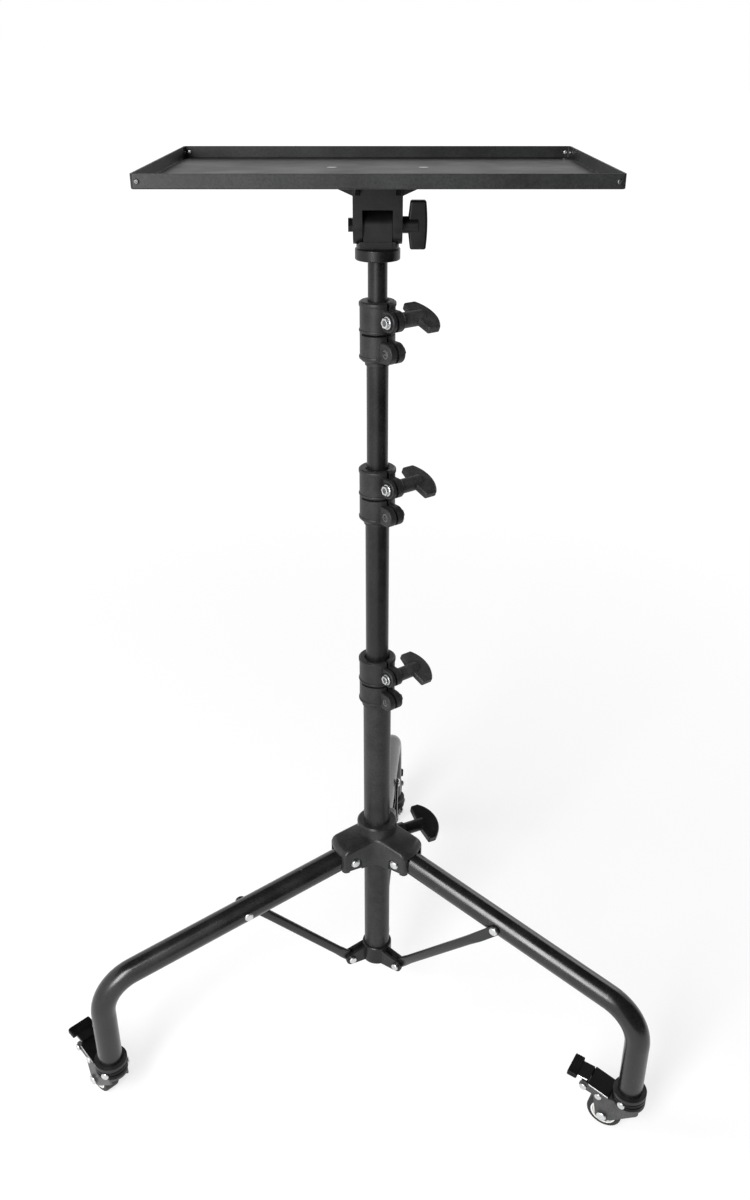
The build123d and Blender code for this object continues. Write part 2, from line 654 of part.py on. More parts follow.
with BuildPart() as leg_hub:
    with BuildSketch(Plane.XY.offset(hub_bottom_z)) as hub_plan:
        for azimuth in LEG_AZIMUTHS.values():
            with Locations(Location((0, 0, 0), (0, 0, azimuth))):
                Rectangle(2 * hub_reach, 2 * cheek_out, align=(Align.MIN, Align.CENTER))
        inner_corners = hub_plan.vertices().sort_by_distance((0, 0, 0))[: len(LEG_AZIMUTHS)]
        fillet(inner_corners, radius=HUB_INNER_ROUND)
    extrude(amount=hub_top_z - hub_bottom_z)
    with BuildSketch(Plane.XZ) as roof_profile:
        Polygon(
            (0, hub_bottom_z),
            (hub_reach, hub_bottom_z),
            (hub_reach, roof_z(hub_reach)),
            (BASE_TUBE_D / 2, roof_z(BASE_TUBE_D / 2)),
            (0, roof_z(BASE_TUBE_D / 2)),
            align=None,
        )
        nose = roof_profile.vertices().group_by(Axis.X)[-1].sort_by(Axis.Y)[-1]
        fillet(nose, radius=HUB_ARM_NOSE)
    revolve(axis=Axis.Z, mode=Mode.INTERSECT)
    roof_edges = leg_hub.edges().filter_by(
        lambda edge: edge.geom_type in (GeomType.HYPERBOLA, GeomType.BSPLINE)
    )
    fillet(roof_edges, radius=HUB_ARM_ROUND)
    with BuildSketch(Plane.XY.offset(hub_bottom_z)):
        Circle(HUB_COLLAR_D / 2)
    extrude(amount=hub_top_z - hub_bottom_z)
    chamfer(leg_hub.edges().group_by(Axis.Z)[-1], length=HUB_COLLAR_BEVEL)
    knob_axis = Plane(
        origin=(0, 0, HUB_KNOB_Z),
        x_dir=(0, 0, 1),
        z_dir=(math.cos(math.radians(hub_knob_azimuth)), math.sin(math.radians(hub_knob_azimuth)), 0),
    )
    with BuildSketch(knob_axis):
        Circle(HUB_KNOB_BOSS_D / 2)
    extrude(amount=HUB_KNOB_SEAT_R - KNOB_SEAT_GAP)
    for azimuth in LEG_AZIMUTHS.values():
        with BuildSketch(leg_plane(azimuth)):
            with Locations(leg_pivot):
                Circle(slot_end)
            with BuildLine():
                Polyline(
                    beside_leg(0, roof_in),
                    beside_leg(2 * LEG_PIVOT_R, roof_in),
                    beside_leg(2 * LEG_PIVOT_R, -3 * slot_end),
                    (LEG_PIVOT_R - slot_end, LEG_PIVOT_Z - 3 * slot_end),
                    (LEG_PIVOT_R - slot_end, LEG_PIVOT_Z),
                    leg_pivot,
                    close=True,
                )
            make_face()
        extrude(amount=cheek_in, both=True, mode=Mode.SUBTRACT)
        with BuildSketch(leg_plane(azimuth)):
            with Locations(leg_pivot):
                Circle(LEG_PIN_D / 2 + FIXED_GAP)
        extrude(amount=2 * cheek_out, both=True, mode=Mode.SUBTRACT)
        for side in (1, -1):
            with BuildSketch(leg_plane(azimuth, side * cheek_out)):
                with Locations(leg_pivot):
                    Circle(HUB_PIN_POCKET_D / 2)
                with Locations((LEG_PIVOT_R, LEG_PIVOT_Z - HUB_DROP)):
                    Rectangle(HUB_PIN_POCKET_D, 2 * HUB_DROP)
            extrude(amount=-side * LEG_PIN_HEAD, mode=Mode.SUBTRACT)
    with BuildSketch(Plane.XY):
        Circle(BASE_TUBE_D / 2 + SLIDE_GAP)
    extrude(amount=2 * hub_top_z, mode=Mode.SUBTRACT)
    with BuildSketch(knob_axis):
        Circle(HUB_BOLT_D / 2 + BOLT_GAP)
    extrude(amount=2 * HUB_KNOB_SEAT_R, mode=Mode.SUBTRACT)
keep(leg_hub.part, "leg_hub")

with BuildPart() as leg_pins:
    for azimuth in LEG_AZIMUTHS.values():
        with BuildSketch(leg_plane(azimuth)):
            with Locations(leg_pivot):
                Circle(LEG_PIN_D / 2)
        extrude(amount=cheek_out - LEG_PIN_HEAD, both=True)
        for side in (1, -1):
            with BuildSketch(leg_plane(azimuth, side * (cheek_out - LEG_PIN_HEAD))):
                with Locations(leg_pivot):
                    Circle(LEG_PIN_HEAD_D / 2)
            extrude(amount=side * LEG_PIN_HEAD)
keep(leg_pins.part, "leg_pins")

hub_seat_azimuth = math.radians(hub_knob_azimuth)
hub_seat = (
    HUB_KNOB_SEAT_R * math.cos(hub_seat_azimuth),
    HUB_KNOB_SEAT_R * math.sin(hub_seat_azimuth),
    HUB_KNOB_Z,
)
hub_knob = make_knob(
    HUB_KNOB_STEM, HUB_BOLT_D, HUB_KNOB_SEAT_R - BASE_TUBE_D / 2 - HUB_BOLT_TIP_GAP
)
keep(hub_knob.moved(knob_plane(hub_seat, hub_knob_azimuth, HUB_KNOB_TILT_ANGLE).location), "hub_knob")


# Leg: bent tube, its inner end rounded about the pin so that it can swing in the hub
with BuildPart() as leg_tube:
    with BuildLine(Plane.XZ) as leg_path:
        FilletPolyline(
            beside_leg(-leg_radius, 0),
            (LEG_REACH, leg_corner_z),
            (LEG_REACH, leg_end_z),
            radius=LEG_BEND_RADIUS,
        )
    with BuildSketch(Plane(origin=leg_path.line @ 0, z_dir=leg_path.line % 0)):
        Circle(leg_radius)
        Circle(leg_radius - LEG_WALL, mode=Mode.SUBTRACT)
    sweep(path=leg_path.line)
    with BuildSketch(Plane.XZ):
        with BuildLine():
            Polyline(
                beside_leg(0, 2 * leg_radius),
                beside_leg(-2 * leg_radius, 2 * leg_radius),
                beside_leg(-2 * leg_radius, -2 * leg_radius),
                beside_leg(0, -2 * leg_radius),
                close=True,
            )
        make_face()
        with Locations(leg_pivot):
            Circle(leg_radius, mode=Mode.SUBTRACT)
    extrude(amount=LEG_D, both=True, mode=Mode.SUBTRACT)
    with BuildSketch(Plane.XZ):
        with Locations(leg_pivot):
            Circle(LEG_PIN_D / 2 + LEG_PIN_GAP)
    extrude(amount=LEG_D, both=True, mode=Mode.SUBTRACT)

# Socket in the leg's lower end that takes the caster's stem
with BuildPart() as leg_socket:
    with BuildSketch(Plane.XY.offset(socket_z)):
        with Locations((LEG_REACH, 0)):
            Circle(SWIVEL_D / 2)
    extrude(amount=SOCKET_FLANGE)
    with BuildSketch(Plane.XY.offset(leg_end_z)):
        with Locations((LEG_REACH, 0)):
            Circle(leg_radius - LEG_WALL - FIXED_GAP)
    extrude(amount=SOCKET_DEPTH)
    with BuildSketch(Plane.XY.offset(socket_z)):
        with Locations((LEG_REACH, 0)):
            Circle(STEM_D / 2 + STEM_GAP)
    extrude(amount=STEM_RISE + STEM_GAP, mode=Mode.SUBTRACT)

# Brace: bar with a flat foot in the ring's ears and a flat paddle beside the leg
paddle_in = leg_radius + BRACE_LEG_GAP
paddle_mid = paddle_in + BRACE_PADDLE_THICKNESS / 2
foot_half = BRACE_FOOT_THICKNESS / 2
body_half = BRACE_BODY_THICKNESS / 2
paddle_from = brace_length - BRACE_PADDLE_LENGTH
body_from = BRACE_FOOT_LENGTH + BRACE_BODY_THICKNESS
body_to = paddle_from - 2 * BRACE_BODY_THICKNESS
bar_slope = (paddle_mid - BRACE_FOOT_SIDE) / (paddle_from - BRACE_FOOT_LENGTH)
body_side_a = BRACE_FOOT_SIDE + bar_slope * (body_from - BRACE_FOOT_LENGTH)
body_side_b = BRACE_FOOT_SIDE + bar_slope * (body_to - BRACE_FOOT_LENGTH)
brace_plane = Plane(
    origin=(brace_foot[0], 0, brace_foot[1]),
    x_dir=(math.cos(math.radians(brace_rise)), 0, math.sin(math.radians(brace_rise))),
    z_dir=(-math.sin(math.radians(brace_rise)), 0, math.cos(math.radians(brace_rise))),
)
brace_side_plane = Plane(
    origin=brace_plane.origin,
    x_dir=brace_plane.x_dir,
    z_dir=(0, -1, 0),
)
with BuildPart() as brace:
    with BuildSketch(brace_plane):
        with BuildLine():
            Polyline(
                (-BRACE_END_RADIUS, -BRACE_FOOT_SIDE - foot_half),
                (BRACE_FOOT_LENGTH, -BRACE_FOOT_SIDE - foot_half),
                (body_from, -body_side_a - body_half),
                (body_to, -body_side_b - body_half),
                (paddle_from, -paddle_in - BRACE_PADDLE_THICKNESS),
                (brace_length + BRACE_END_RADIUS, -paddle_in - BRACE_PADDLE_THICKNESS),
                (brace_length + BRACE_END_RADIUS, -paddle_in),
                (paddle_from, -paddle_in),
                (body_to, -body_side_b + body_half),
                (body_from, -body_side_a + body_half),
                (BRACE_FOOT_LENGTH, -BRACE_FOOT_SIDE + foot_half),
                (-BRACE_END_RADIUS, -BRACE_FOOT_SIDE + foot_half),
                close=True,
            )
        make_face()
    extrude(amount=BRACE_END_RADIUS, both=True)
    with BuildSketch(brace_side_plane):
        with Locations((brace_length / 2, 0)):
            SlotCenterToCenter(brace_length, 2 * BRACE_END_RADIUS)
        with Locations((brace_length / 2, (BRACE_END_RADIUS + BRACE_WIDTH / 2) / 2)):
            Rectangle(
                body_to - body_from, BRACE_END_RADIUS - BRACE_WIDTH / 2, mode=Mode.SUBTRACT
            )
        with Locations((brace_length / 2, -(BRACE_END_RADIUS + BRACE_WIDTH / 2) / 2)):
            Rectangle(
                body_to - body_from, BRACE_END_RADIUS - BRACE_WIDTH / 2, mode=Mode.SUBTRACT
            )
    extrude(amount=2 * LEG_D, both=True, mode=Mode.INTERSECT)
    with BuildSketch(brace_plane.offset(BRACE_WIDTH / 2 - BRACE_GROOVE_DEPTH)):
        with BuildLine():
            Polyline(
                (body_from, -body_side_a - BRACE_GROOVE / 2),
                (body_to, -body_side_b - BRACE_GROOVE / 2),
                (body_to, -body_side_b + BRACE_GROOVE / 2),
                (body_from, -body_side_a + BRACE_GROOVE / 2),
                close=True,
            )
        make_face()
    extrude(amount=2 * BRACE_GROOVE_DEPTH, mode=Mode.SUBTRACT)
    with BuildSketch(brace_side_plane):
        Circle(BRACE_PIN_D / 2 + BRACE_PIN_GAP)
    extrude(amount=2 * LEG_D, both=True, mode=Mode.SUBTRACT)

# Ring at the column's foot: a cup under the base tube with three pairs of ears
ear_in = BRACE_FOOT_THICKNESS / 2 + BRACE_EAR_GAP
ear_out = ear_in + RING_EAR_THICKNESS
with BuildPart() as brace_ring:
    with BuildSketch(Plane.XY.offset(COLUMN_FOOT_Z - RING_FLOOR)):
        Circle(RING_D / 2)
    extrude(amount=RING_HEIGHT + RING_FLOOR)
    chamfer(brace_ring.edges(), length=RING_BEVEL)
    for azimuth in LEG_AZIMUTHS.values():
        for ear_side in (BRACE_FOOT_SIDE + ear_in, BRACE_FOOT_SIDE - ear_out):
            with BuildSketch(leg_plane(azimuth, ear_side)):
                with Locations(brace_foot):
                    Circle(RING_EAR_RADIUS)
                Polygon(
                    (0, COLUMN_FOOT_Z - RING_FLOOR),
                    (BRACE_FOOT_R, brace_foot[1] - RING_EAR_RADIUS),
                    (BRACE_FOOT_R, brace_foot[1] + RING_EAR_RADIUS),
                    (0, COLUMN_FOOT_Z + RING_HEIGHT),
                    align=None,
                )
                with Locations(brace_foot):
                    Circle(BRACE_PIN_D / 2 + FIXED_GAP, mode=Mode.SUBTRACT)
            extrude(amount=RING_EAR_THICKNESS)
    with BuildSketch(Plane.XY.offset(COLUMN_FOOT_Z)):
        Circle(BASE_TUBE_D / 2 + FIXED_GAP)
    extrude(amount=2 * RING_HEIGHT, mode=Mode.SUBTRACT)
keep(brace_ring.part, "brace_ring")

with BuildPart() as brace_pins:
    for azimuth in LEG_AZIMUTHS.values():
        with BuildSketch(leg_plane(azimuth, BRACE_FOOT_SIDE)):
            with Locations(brace_foot):
                Circle(BRACE_PIN_D / 2)
        extrude(amount=ear_out, both=True)
        for side in (1, -1):
            with BuildSketch(leg_plane(azimuth, BRACE_FOOT_SIDE + side * ear_out)):
                with Locations(brace_foot):
                    Circle(BRACE_PIN_HEAD_D / 2)
            extrude(amount=side * BRACE_PIN_HEAD)
keep(brace_pins.part, "brace_pins")


# Caster head: swivel housing with the stem above it and the rivet for the fork below it
with BuildPart() as caster_head:
    with BuildSketch(Plane.XY.offset(swivel_z)):
        Circle(SWIVEL_D / 2)
    extrude(amount=SWIVEL_HEIGHT)
    fillet(caster_head.edges(), radius=SWIVEL_ROUND)
    with BuildSketch(Plane.XY.offset(swivel_z + SWIVEL_GROOVE_Z)):
        Circle(SWIVEL_D)
        Circle(SWIVEL_D / 2 - SWIVEL_GROOVE, mode=Mode.SUBTRACT)
    extrude(amount=SWIVEL_GROOVE, mode=Mode.SUBTRACT)
    with BuildSketch(Plane.XY.offset(swivel_top_z)):
        Circle(STEM_D / 2)
    extrude(amount=STEM_RISE)
    with BuildSketch(Plane.XY.offset(swivel_z)):
        Circle(FORK_RIVET_D / 2)
    extrude(amount=-FORK_CROWN)

# Caster fork: crown under the head and two side plates, trailing along +X
plate_in = WHEEL_WIDTH / 2 + FORK_SIDE_GAP
plate_out = plate_in + FORK_PLATE
cover_from = (SWIVEL_D / 2 + COVER_HEAD_GAP, swivel_z)
cover_to = (pedal_x - PEDAL_BACK - COVER_END_GAP, swivel_z + COVER_RISE)
with BuildPart() as caster_fork:
    with BuildSketch(Plane.XZ):
        with BuildLine():
            Polyline(
                (-SWIVEL_D / 2, swivel_z),
                (-SWIVEL_D / 2, swivel_z - FORK_NOSE_DROP),
                (CASTER_TRAIL - FORK_AXLE_RADIUS, axle_z - FORK_AXLE_RADIUS / 2),
                (CASTER_TRAIL, axle_z),
                (CASTER_TRAIL + FORK_AXLE_RADIUS, axle_z),
                (CASTER_TRAIL + FORK_REAR_OUT, axle_z + FORK_REAR_RISE),
                (pedal_x, pedal_z - PEDAL_EAR_RADIUS),
                (pedal_x, pedal_z + PEDAL_EAR_RADIUS),
                cover_to,
                cover_from,
                close=True,
            )
        make_face()
        with Locations((CASTER_TRAIL, axle_z)):
            Circle(FORK_AXLE_RADIUS)
        with Locations((pedal_x, pedal_z)):
            Circle(PEDAL_EAR_RADIUS)
    extrude(amount=plate_out, both=True)
    with BuildSketch(Plane.XY):
        Circle(SWIVEL_D / 2)
        Rectangle(2 * pedal_x, 2 * plate_out, align=(Align.MIN, Align.CENTER))
    extrude(amount=2 * swivel_z, mode=Mode.INTERSECT)
    with BuildSketch(Plane.XZ):
        Polygon(
            (-SWIVEL_D / 2, crown_z),
            (-SWIVEL_D / 2, axle_z),
            (CASTER_TRAIL, axle_z),
            (CASTER_TRAIL, crown_z),
            align=None,
        )
        with Locations((CASTER_TRAIL, axle_z)):
            Circle(WHEEL_D / 2 + FORK_HOOD_GAP)
        with Locations((CASTER_TRAIL + WHEEL_D / 2, crown_z - WHEEL_D / 2)):
            Rectangle(WHEEL_D, WHEEL_D)
        with Locations((pedal_x + PEDAL_BOSS_D, pedal_z)):
            Rectangle(4 * PEDAL_BOSS_D, 4 * PEDAL_BOSS_D)
    extrude(amount=plate_in, both=True, mode=Mode.SUBTRACT)
    with BuildSketch(Plane.XY.offset(swivel_z)):
        Circle(FORK_RIVET_D / 2 + FIXED_GAP)
    extrude(amount=-2 * FORK_CROWN, mode=Mode.SUBTRACT)
    with BuildSketch(Plane.XZ):
        with Locations((CASTER_TRAIL, axle_z)):
            Circle(AXLE_D / 2)
    extrude(amount=plate_out, both=True)
    with BuildSketch(Plane.XZ):
        with Locations((pedal_x, pedal_z)):
            Circle(PEDAL_PIN_D / 2)
    extrude(amount=plate_out, both=True)
    for side in (1, -1):
        with BuildSketch(Plane.XZ.offset(side * plate_out)):
            with Locations((CASTER_TRAIL, axle_z)):
                Circle(AXLE_HEAD_D / 2)
            with Locations((pedal_x, pedal_z)):
                Circle(PEDAL_PIN_HEAD_D / 2)
        extrude(amount=side * AXLE_HEAD)

# Cover on the fork, from the head back to the pedal
with BuildPart() as caster_cover:
    with BuildSketch(Plane.XZ):
        Polygon(
            cover_from,
            cover_to,
            (cover_to[0], cover_to[1] + COVER_THICKNESS),
            (cover_from[0], cover_from[1] + COVER_THICKNESS),
            align=None,
        )
    extrude(amount=COVER_WIDTH / 2, both=True)
    fillet(caster_cover.faces().sort_by(Axis.Z)[-1].edges(), radius=COVER_ROUND)

# Caster wheel: core on the axle and a tyre round it
with BuildPart() as caster_core:
    with BuildSketch(Plane.XZ):
        with Locations((CASTER_TRAIL, axle_z)):
            Circle(WHEEL_CORE_D / 2)
            Circle(AXLE_D / 2 + AXLE_GAP, mode=Mode.SUBTRACT)
    extrude(amount=WHEEL_WIDTH / 2, both=True)
    for face_side in (1, -1):
        with BuildSketch(Plane.XZ.offset(face_side * (WHEEL_WIDTH / 2 - WHEEL_DISH))):
            with Locations((CASTER_TRAIL, axle_z)):
                Circle(WHEEL_CORE_D / 2 - WHEEL_DISH)
                Circle(WHEEL_HUB_D / 2, mode=Mode.SUBTRACT)
        extrude(amount=face_side * WHEEL_DISH, mode=Mode.SUBTRACT)

with BuildPart() as caster_tyre:
    with BuildSketch(Plane.XZ):
        with Locations((CASTER_TRAIL, axle_z)):
            Circle(WHEEL_D / 2)
    extrude(amount=WHEEL_WIDTH / 2, both=True)
    fillet(caster_tyre.edges(), radius=TYRE_ROUND)
    with BuildSketch(Plane.XZ):
        with Locations((CASTER_TRAIL, axle_z)):
            Circle(WHEEL_CORE_D / 2 + FIXED_GAP)
    extrude(amount=WHEEL_WIDTH, both=True, mode=Mode.SUBTRACT)

# Brake pedal: boss between the side plates, neck and ribbed tread
pedal_slope = math.radians(PEDAL_SLOPE_ANGLE)
boss_half = plate_in - PEDAL_PLATE_GAP
tread_top = PEDAL_STAND + PEDAL_THICKNESS / 2


def pedal_block(start, end, low, high):
    """Block in the side view of the pedal, along and across its tread from the pivot."""
    corners = []
    for along, up in ((start, low), (end, low), (end, high), (start, high)):
        x = pedal_x + along * math.cos(pedal_slope) - up * math.sin(pedal_slope)
        z = pedal_z + along * math.sin(pedal_slope) + up * math.cos(pedal_slope)
        corners.append((x, z))
    return Polygon(*corners, align=None)


with BuildPart() as brake_pedal:
    with BuildSketch(Plane.XZ):
        pedal_block(PEDAL_WIDE_FROM, PEDAL_LENGTH, tread_top - PEDAL_THICKNESS, tread_top)
    extrude(amount=PEDAL_WIDTH / 2, both=True)
    fillet(brake_pedal.edges(), radius=PEDAL_ROUND)
    with BuildSketch(Plane.XZ):
        with Locations((pedal_x, pedal_z)):
            Circle(PEDAL_BOSS_D / 2)
        pedal_block(-PEDAL_BOSS_D / 2, PEDAL_BOSS_D / 2, 0, PEDAL_STAND)
        pedal_block(-PEDAL_BACK, PEDAL_LENGTH / 2, PEDAL_STAND - PEDAL_NECK / 2, PEDAL_STAND + PEDAL_NECK / 2)
    extrude(amount=boss_half, both=True)
    for rib in range(PEDAL_RIB_COUNT):
        rib_at = PEDAL_LENGTH - PEDAL_RIB_SPACING * (rib + 0.5)
        with BuildSketch(Plane.XZ):
            pedal_block(
                rib_at - PEDAL_RIB / 2, rib_at + PEDAL_RIB / 2, PEDAL_STAND, tread_top + PEDAL_RIB_HEIGHT
            )
        extrude(amount=PEDAL_WIDTH / 2 - PEDAL_ROUND, both=True)
    with BuildSketch(Plane.XZ):
        with Locations((pedal_x, pedal_z)):
            Circle(PEDAL_PIN_D / 2 + PEDAL_PIN_GAP)
    extrude(amount=plate_out, both=True, mode=Mode.SUBTRACT)

# Three legs, each with its brace and caster
for side, azimuth in LEG_AZIMUTHS.items():
    keep(turned(leg_tube.part, azimuth), f"{side}_leg_tube")
    keep(turned(leg_socket.part, azimuth), f"{side}_leg_socket")
    keep(turned(brace.part, azimuth), f"{side}_brace")
    keep(at_caster(caster_head.part, side), f"{side}_caster_head")
    keep(at_caster(caster_fork.part, side), f"{side}_caster_fork")
    keep(at_caster(caster_cover.part, side), f"{side}_caster_cover")
    keep(at_caster(caster_core.part, side), f"{side}_wheel_core")
    keep(at_caster(caster_tyre.part, side), f"{side}_wheel_tyre")
    keep(at_caster(brake_pedal.part, side), f"{side}_brake_pedal")
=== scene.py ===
import json
import math

import bmesh
import bpy
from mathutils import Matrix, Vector


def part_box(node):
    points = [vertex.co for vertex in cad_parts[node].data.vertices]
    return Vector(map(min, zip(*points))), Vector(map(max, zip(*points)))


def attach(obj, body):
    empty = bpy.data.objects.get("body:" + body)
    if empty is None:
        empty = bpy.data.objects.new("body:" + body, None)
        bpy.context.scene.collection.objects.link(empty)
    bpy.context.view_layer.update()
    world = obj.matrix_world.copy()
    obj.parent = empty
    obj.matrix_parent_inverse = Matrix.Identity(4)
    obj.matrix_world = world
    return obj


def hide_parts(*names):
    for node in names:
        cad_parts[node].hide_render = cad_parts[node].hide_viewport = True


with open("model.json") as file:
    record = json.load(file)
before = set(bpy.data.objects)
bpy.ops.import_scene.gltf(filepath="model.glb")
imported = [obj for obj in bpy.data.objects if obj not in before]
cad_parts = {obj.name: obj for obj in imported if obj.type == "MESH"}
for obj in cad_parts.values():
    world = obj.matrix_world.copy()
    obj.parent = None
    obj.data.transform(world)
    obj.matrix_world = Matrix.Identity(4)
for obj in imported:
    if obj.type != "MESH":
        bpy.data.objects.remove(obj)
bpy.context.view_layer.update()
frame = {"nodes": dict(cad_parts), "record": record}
MM = 0.001

# Camera of a product photograph: a little above the tray, looking down on the feet.
# It stands in front of the column, with the whole stand in an upright frame.
camera = bpy.data.objects.new("camera", bpy.data.cameras.new("camera"))
bpy.context.collection.objects.link(camera)
camera.location = (-0.0022, -0.9314, 1.00824)
camera.rotation_euler = (math.radians(90.0 - 27.04), 0, 0)
camera.data.lens = 32.33
camera.data.sensor_width = 36.0
bpy.context.scene.camera = camera


# Column: four round steel tubes, one inside the next, with a baked powder coat.
# The coat is a satin near-black skin, slightly pebbled, with a few pale scuffs.
def linear(colour):
    """Linear colour from an sRGB hex value."""
    channels = [int(colour[i:i + 2], 16) / 255 for i in (1, 3, 5)]
    return [c / 12.92 if c <= 0.04045 else ((c + 0.055) / 1.055) ** 2.4 for c in channels] + [1.0]


def add_node(tree, kind, inputs=None, **settings):
    """Node with its settings; each input takes a value or another node's output."""
    made = tree.nodes.new(kind)
    for key, value in settings.items():
        setattr(made, key, value)
    for key, value in (inputs or {}).items():
        if isinstance(value, bpy.types.NodeSocket):
            tree.links.new(value, made.inputs[key])
        else:
            made.inputs[key].default_value = value
    return made


# Parts of the noise that draw the grain, the gloss and the scuffs; sizes in millimetres
GRAIN_LOW, GRAIN_HIGH = 0.13, 0.38
GLOSS_LOW, GLOSS_HIGH = 0.3, 0.7
SCUFF_LOW, SCUFF_HIGH = 0.72, 0.8
SCUFF_SIZE = 7.0
GLOSS_SPREAD = 0.05
RELIEF_DEPTH = 0.1
PLAIN_SHEEN = 0.3


def grained_finish(name, dark, light, grain, patch, roughness, bump, scuff=None, **shader):
    """Surface with a grain in mm, broad patches in mm, and pale scuffs where asked for."""
    finish = bpy.data.materials.new(name)
    finish.use_nodes = True
    tree = finish.node_tree
    tree.nodes.clear()
    place = add_node(tree, "ShaderNodeTexCoord").outputs["Object"]
    fine, broad = (
        add_node(
            tree,
            "ShaderNodeTexNoise",
            {"Vector": place, "Scale": 1 / (size * MM), "Detail": detail},
        ).outputs["Fac"]
        for size, detail in ((grain, 3.0), (patch, 4.0))
    )
    tone = add_node(tree, "ShaderNodeMath", {0: fine, 1: broad}, operation="MULTIPLY").outputs[0]
    spread = add_node(
        tree, "ShaderNodeMapRange", {"Value": tone, "From Min": GRAIN_LOW, "From Max": GRAIN_HIGH}
    ).outputs[0]
    tints = {"Factor": spread, 6: linear(dark), 7: linear(light)}
    colour = add_node(tree, "ShaderNodeMix", tints, data_type="RGBA").outputs[2]
    if scuff:
        spacing = {"Vector": place, "Scale": 1 / (SCUFF_SIZE * MM), "Detail": 6.0}
        flecks = add_node(tree, "ShaderNodeTexNoise", spacing).outputs["Fac"]
        peaks = {"Value": flecks, "From Min": SCUFF_LOW, "From Max": SCUFF_HIGH}
        rare = add_node(tree, "ShaderNodeMapRange", peaks).outputs[0]
        tints = {"Factor": rare, 6: colour, 7: linear(scuff)}
        colour = add_node(tree, "ShaderNodeMix", tints, data_type="RGBA").outputs[2]
    gloss = add_node(
        tree,
        "ShaderNodeMapRange",
        {
            "Value": broad,
            "From Min": GLOSS_LOW,
            "From Max": GLOSS_HIGH,
            "To Min": roughness - GLOSS_SPREAD,
            "To Max": roughness + GLOSS_SPREAD,
        },
    ).outputs[0]
    relief = add_node(
        tree, "ShaderNodeBump", {"Height": fine, "Strength": bump, "Distance": RELIEF_DEPTH * MM}
    ).outputs[0]
    surface = {"Base Color": colour, "Roughness": gloss, "Normal": relief}
    surface["Specular IOR Level"] = PLAIN_SHEEN
    skin = add_node(tree, "ShaderNodeBsdfPrincipled", {**surface, **shader}).outputs[0]
    add_node(tree, "ShaderNodeOutputMaterial", {"Surface": skin})
    return finish


def dress(finish, *names):
    """Give one finish to CAD pieces."""
    for name in names:
        for slot in frame["nodes"][name].material_slots:
            slot.material = finish


# Baked polyester powder on steel: a pebble of about half a millimetre, drawn at 1.6 mm to show
tube_coat = grained_finish(
    "satin_black_powder_coat", "#0f0f10", "#1e1e1f", 1.6, 26.0, 0.32, 0.3, scuff="#5a5a58"
)
dress(tube_coat, "second_tube", "third_tube", "top_tube")
# The same powder, laid thicker on the base tube: paler, with a plainer pebble
base_coat = grained_finish(
    "pebbled_black_powder_coat", "#161617", "#2b2b2c", 1.8, 22.0, 0.4, 0.4, scuff="#6a6a68"
)
dress(base_coat, "base_tube")


# Split collars: glass-filled nylon mouldings in two bands, each drawn tight by a bolt.
# The moulding has a fine spark-eroded texture, and its edges are softly rounded.
home = {n: body for body, names in frame["record"]["behaviour"]["bodies"].items() for n in names}
# Distance in millimetres at which points are one, and the angles that are flat and sharp
WELD = 0.002
FLAT_ANGLE = math.radians(0.4)
SHARP_ANGLE = math.radians(40.0)


def softened(name, width, finish):
    """CAD piece with its sharp edges rounded, in place of the plain one."""
    mesh = frame["nodes"][name].data.copy()
    mesh.attributes.remove(mesh.attributes["custom_normal"])
    form = bmesh.new()
    form.from_mesh(mesh)
    bmesh.ops.remove_doubles(form, verts=form.verts, dist=WELD * MM)
    bmesh.ops.dissolve_limit(form, angle_limit=FLAT_ANGLE, verts=form.verts, edges=form.edges)
    for face in form.faces:
        face.smooth = True
    form.to_mesh(mesh)
    form.free()
    piece = bpy.data.objects.new(name + ".rounded", mesh)
    bpy.context.collection.objects.link(piece)
    rounding = piece.modifiers.new("rounding", "BEVEL")
    rounding.width = width * MM
    rounding.segments = 2
    rounding.limit_method = "ANGLE"
    rounding.angle_limit = SHARP_ANGLE
    rounding.use_clamp_overlap = True
    smoothing = piece.modifiers.new("smoothing", "WEIGHTED_NORMAL")
    smoothing.keep_sharp = True
    graph = bpy.context.evaluated_depsgraph_get()
    piece.data = bpy.data.meshes.new_from_object(piece.evaluated_get(graph))
    piece.modifiers.clear()
    piece.data.materials.clear()
    piece.data.materials.append(finish)
    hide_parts(name)
    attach(piece, home[name])
    return piece


# Moulded nylon: dense black with a dull sheen; the texture is drawn at 1.2 mm to show
nylon = grained_finish("moulded_black_nylon", "#161617", "#29292a", 1.2, 18.0, 0.46, 0.3)
# The knobs and other handled mouldings: the same nylon, blacker, and smoother from a polished
# mould. On the head and the tray bracket the blacker tone is painted shade, the tray's shadow
knob_and_painted_shade_nylon = grained_finish("smooth_black_nylon", "#0b0b0c", "#181819", 1.2, 15.0, 0.36, 0.2)
# The collars' knobs: the same nylon painted a dull dark grey, which is painted light: it stands in
# for the light their faces catch from above
wing_painted_light_nylon = grained_finish("grey_nylon_painted_light", "#1d1d1e", "#3a3a3b", 1.2, 15.0, 0.5, 0.3)
# Bright zinc plate on steel: pale blue-grey metal, faintly clouded, with soft reflections
zinc = grained_finish(
    "bright_zinc_plate", "#c4c6c7", "#e2e3e3", 1.0, 6.0, 0.36, 0.08, Metallic=1.0
)
# Black oxide on steel: dark with a slight oily gloss, as on the tilt nut. Round the lower band's
# socket screw and behind each nut flange the same dark is painted shade
oxide_and_painted_shade = grained_finish("black_oxide_steel_and_painted_shade", "#0b0b0c", "#161617", 0.8, 5.0, 0.4, 0.1)
# Plain steel, turned: the ends and sockets of the bolts, grey and dull
plain_steel = grained_finish(
    "plain_turned_steel", "#5c5d5f", "#7a7b7d", 0.8, 4.0, 0.45, 0.15, Metallic=1.0
)

